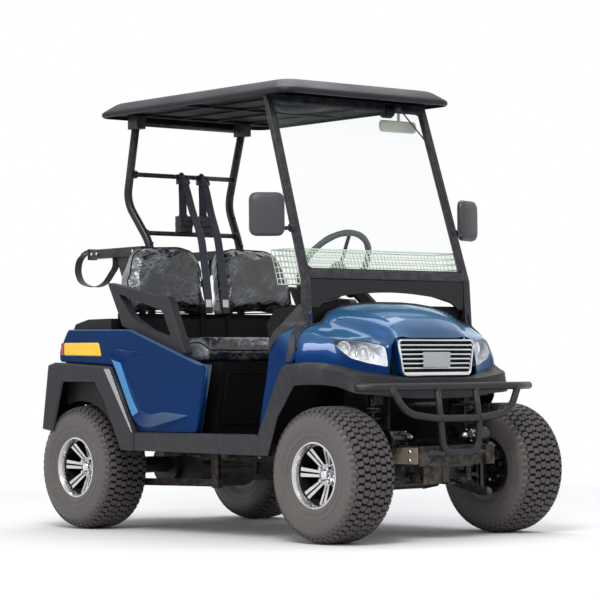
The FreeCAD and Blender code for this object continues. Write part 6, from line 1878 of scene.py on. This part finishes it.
def buildRim(name, x, side, body, alloy):
    hub = at(x, side * cart["wheelY"], cart["tyreRadius"])
    axle = Vector((0, side, 0))
    q = rimForm
    barrel = Shape()
    barrel.turn(q["lip"], hub, axle, 0, 96)
    # the barrel's inside and back take the near-black as painted shade
    barrel.turn(q["barrel"], hub, axle, 1, 96)
    barrel.turn(q["back"], hub, axle, 1, 64)
    spokes = Shape()
    for k in range(q["spokes"]):
        for way in (-1, 1):
            rings = []
            for t in range(9):
                f = t / 8
                reach = mix(36, 120.5, f)
                spread = mix(8.0, 12.5, f) * way
                lift = q["hubOut"] + q["rise"] * f ** 1.35 + 3 * sin(pi * f)
                wide = mix(6.4, 9.6, f)
                deep = mix(16, 20, f)
                a = 2 * pi * k / q["spokes"] + q["firstSpoke"]
                radial = Vector((cos(a), 0, sin(a)))
                tangent = Vector((-sin(a), 0, cos(a)))
                ring = []
                for tu, ax in q["section"]:
                    ring.append(hub + (radial * reach + tangent * (spread + wide * tu)
                                       + axle * (lift + (deep * ax if ax < 0 else 0))) / 1000)
                rings.append(ring)
            spokes.loft(rings)
    # spoke faces that look sideways take the near-black as painted shade
    for number, face in enumerate(spokes.faces):
        a, b, c = (spokes.points[i] for i in face[:3])
        if abs((b - a).cross(c - a).normalized().dot(axle)) < 0.5:
            spokes.marks[number] = 1
    spokes.turn(q["centre"], hub, axle, 0, 72)
    spokes.turn(q["cap"], hub, axle, 2, 48)
    piece("rim_barrel_" + name, barrel, [alloy, paintedShadeBlack], body=body, stands=("rim_" + name,), slot="wheel_alloy",
          angle=35)
    piece("rim_spokes_" + name, spokes, [alloy, paintedShadeBlack, chrome], body=body, bevel=1.6, angle=38)
    nuts = Shape()
    for k in range(q["nuts"]):
        a = 2 * pi * k / q["nuts"] + 0.785
        spot = hub + Vector((cos(a), 0, sin(a))) * (q["nutCircle"] / 1000) + axle * ((q["hubOut"] - 4) / 1000)
        nuts.turn([(0, 0.3), (0, 10), (18, 10), (22, 7.5), (24, 0.3)], spot, axle, steps=6)
    for k in range(q["spokes"] * 2):
        a = 2 * pi * (k + 0.5) / (q["spokes"] * 2) + q["firstSpoke"]
        spot = hub + Vector((cos(a), 0, sin(a))) * (q["studCircle"] / 1000) + axle * 0.0915
        nuts.bolt(spot, axle, 3.2, 4, 2.2, 5, 10)
    valve = hub + Vector((0.112, 0, 0.045)) + axle * 0.092
    nuts.turn([(-4, 0.3), (-4, 4), (14, 4), (16, 2.5), (16, 0.3)], valve, axle, steps=12)
    piece("wheel_nuts_" + name, nuts, chrome, body=body, angle=40)


for word, x, side in (("front_right", cart["wheelbase"], -1), ("front_left", cart["wheelbase"], 1),
                      ("rear_right", 0, -1), ("rear_left", 0, 1)):
    buildTyre(word, x, side, "wheel_" + word)
    buildRim(word, x, side, "wheel_" + word, alloyFront if x else alloyRear)
print("wheels done")

# Floor, light and camera
stageForm = {"floor": 40.0, "fadeFrom": 2.4, "fadeTo": 5.0, "sky": 0.72, "keyPower": 300, "topPower": 160}
floorShape = Shape()
size = stageForm["floor"]
floorShape.add([(-size, -size, 0), (size, -size, 0), (size, size, 0), (-size, size, 0)], [[0, 1, 2, 3]])
floorFinish, tree, shader = blank("Studio Floor")
base = effect(tree, "drift", {"Colour": (0.86, 0.86, 0.86, 1), "Amount": 0.01, "Scale": 0.8})
give(tree, shader, {"Base Color": base["Colour"], "Roughness": 0.9, "Specular IOR Level": 0.1})
reach = node(tree, "ShaderNodeVectorMath", {0: placed(tree)}, operation="LENGTH").outputs["Value"]
fade = ramp(tree, reach, stageForm["fadeFrom"], stageForm["fadeTo"])
rays = node(tree, "ShaderNodeLightPath").outputs
seen = sums(tree, "MAXIMUM", rays["Is Camera Ray"], rays["Is Transmission Ray"])
glow = node(tree, "ShaderNodeEmission", {"Color": (1, 1, 1, 1), "Strength": 1.0})
both = node(tree, "ShaderNodeMixShader", {"Fac": times(tree, seen, fade), 1: shader.outputs[0], 2: glow.outputs[0]})
give(tree, tree.nodes["Material Output"], {"Surface": both.outputs[0]})
floor = bpy.data.objects.new("studio_floor", buildMesh("studio_floor", floorShape, [floorFinish], 30))
link(floor)

world = bpy.data.worlds.new("Studio")
world.use_nodes = True
bpy.context.scene.world = world
tree = world.node_tree
sky = tree.nodes["Background"]
give(tree, sky, {"Color": (0.94, 0.965, 1.0, 1), "Strength": stageForm["sky"]})
white = node(tree, "ShaderNodeBackground", {"Color": (1, 1, 1, 1), "Strength": 1.0})
rays = node(tree, "ShaderNodeLightPath").outputs
seen = sums(tree, "MAXIMUM", sums(tree, "MAXIMUM", rays["Is Camera Ray"], rays["Is Glossy Ray"]),
            rays["Is Transmission Ray"])
both = node(tree, "ShaderNodeMixShader", {"Fac": seen, 1: sky.outputs[0], 2: white.outputs[0]})
give(tree, tree.nodes["World Output"], {"Surface": both.outputs[0]})


def softLight(name, place, aim, size, power, colour=(1, 1, 1)):
    data = bpy.data.lights.new(name, "AREA")
    data.energy = power
    data.size = size
    data.color = colour
    lamp = bpy.data.objects.new(name, data)
    lamp.location = place
    lamp.rotation_euler = (Vector(aim) - Vector(place)).to_track_quat("-Z", "Y").to_euler()
    link(lamp)


softLight("Key Light", (3.6, -4.2, 6.0), (0, 0, 0.8), 2.6, stageForm["keyPower"], (1.0, 0.98, 0.94))
softLight("Top Light", (-1.2, 1.5, 6.5), (0, 0, 0.8), 4.0, stageForm["topPower"])

view = {
    "place": (8.41385, -7.08213, 0.67775), "yaw": 48.85, "pitch": -1.90, "roll": -0.64, "lens": 146.9,
    "shiftX": -0.0337, "shiftY": -0.0074,
}
yaw, pitch, roll = (radians(view[key]) for key in ("yaw", "pitch", "roll"))
right = Vector((cos(yaw), sin(yaw), 0))
ahead = Vector((-sin(yaw) * cos(pitch), cos(yaw) * cos(pitch), -sin(pitch)))
upward = right.cross(ahead)
across = right * cos(roll) + upward * sin(roll)
upward = upward * cos(roll) - right * sin(roll)
camera = bpy.data.objects.new("Camera", bpy.data.cameras.new("Camera"))
camera.matrix_world = Matrix.Translation(view["place"]) @ Matrix((across, upward, -ahead)).transposed().to_4x4()
camera.data.sensor_width = 36
camera.data.lens = view["lens"]
camera.data.shift_x = view["shiftX"]
camera.data.shift_y = view["shiftY"]
camera.data.clip_end = 200
link(camera)
bpy.context.scene.camera = camera
bpy.context.scene.view_settings.view_transform = "Standard"

print("scene done")
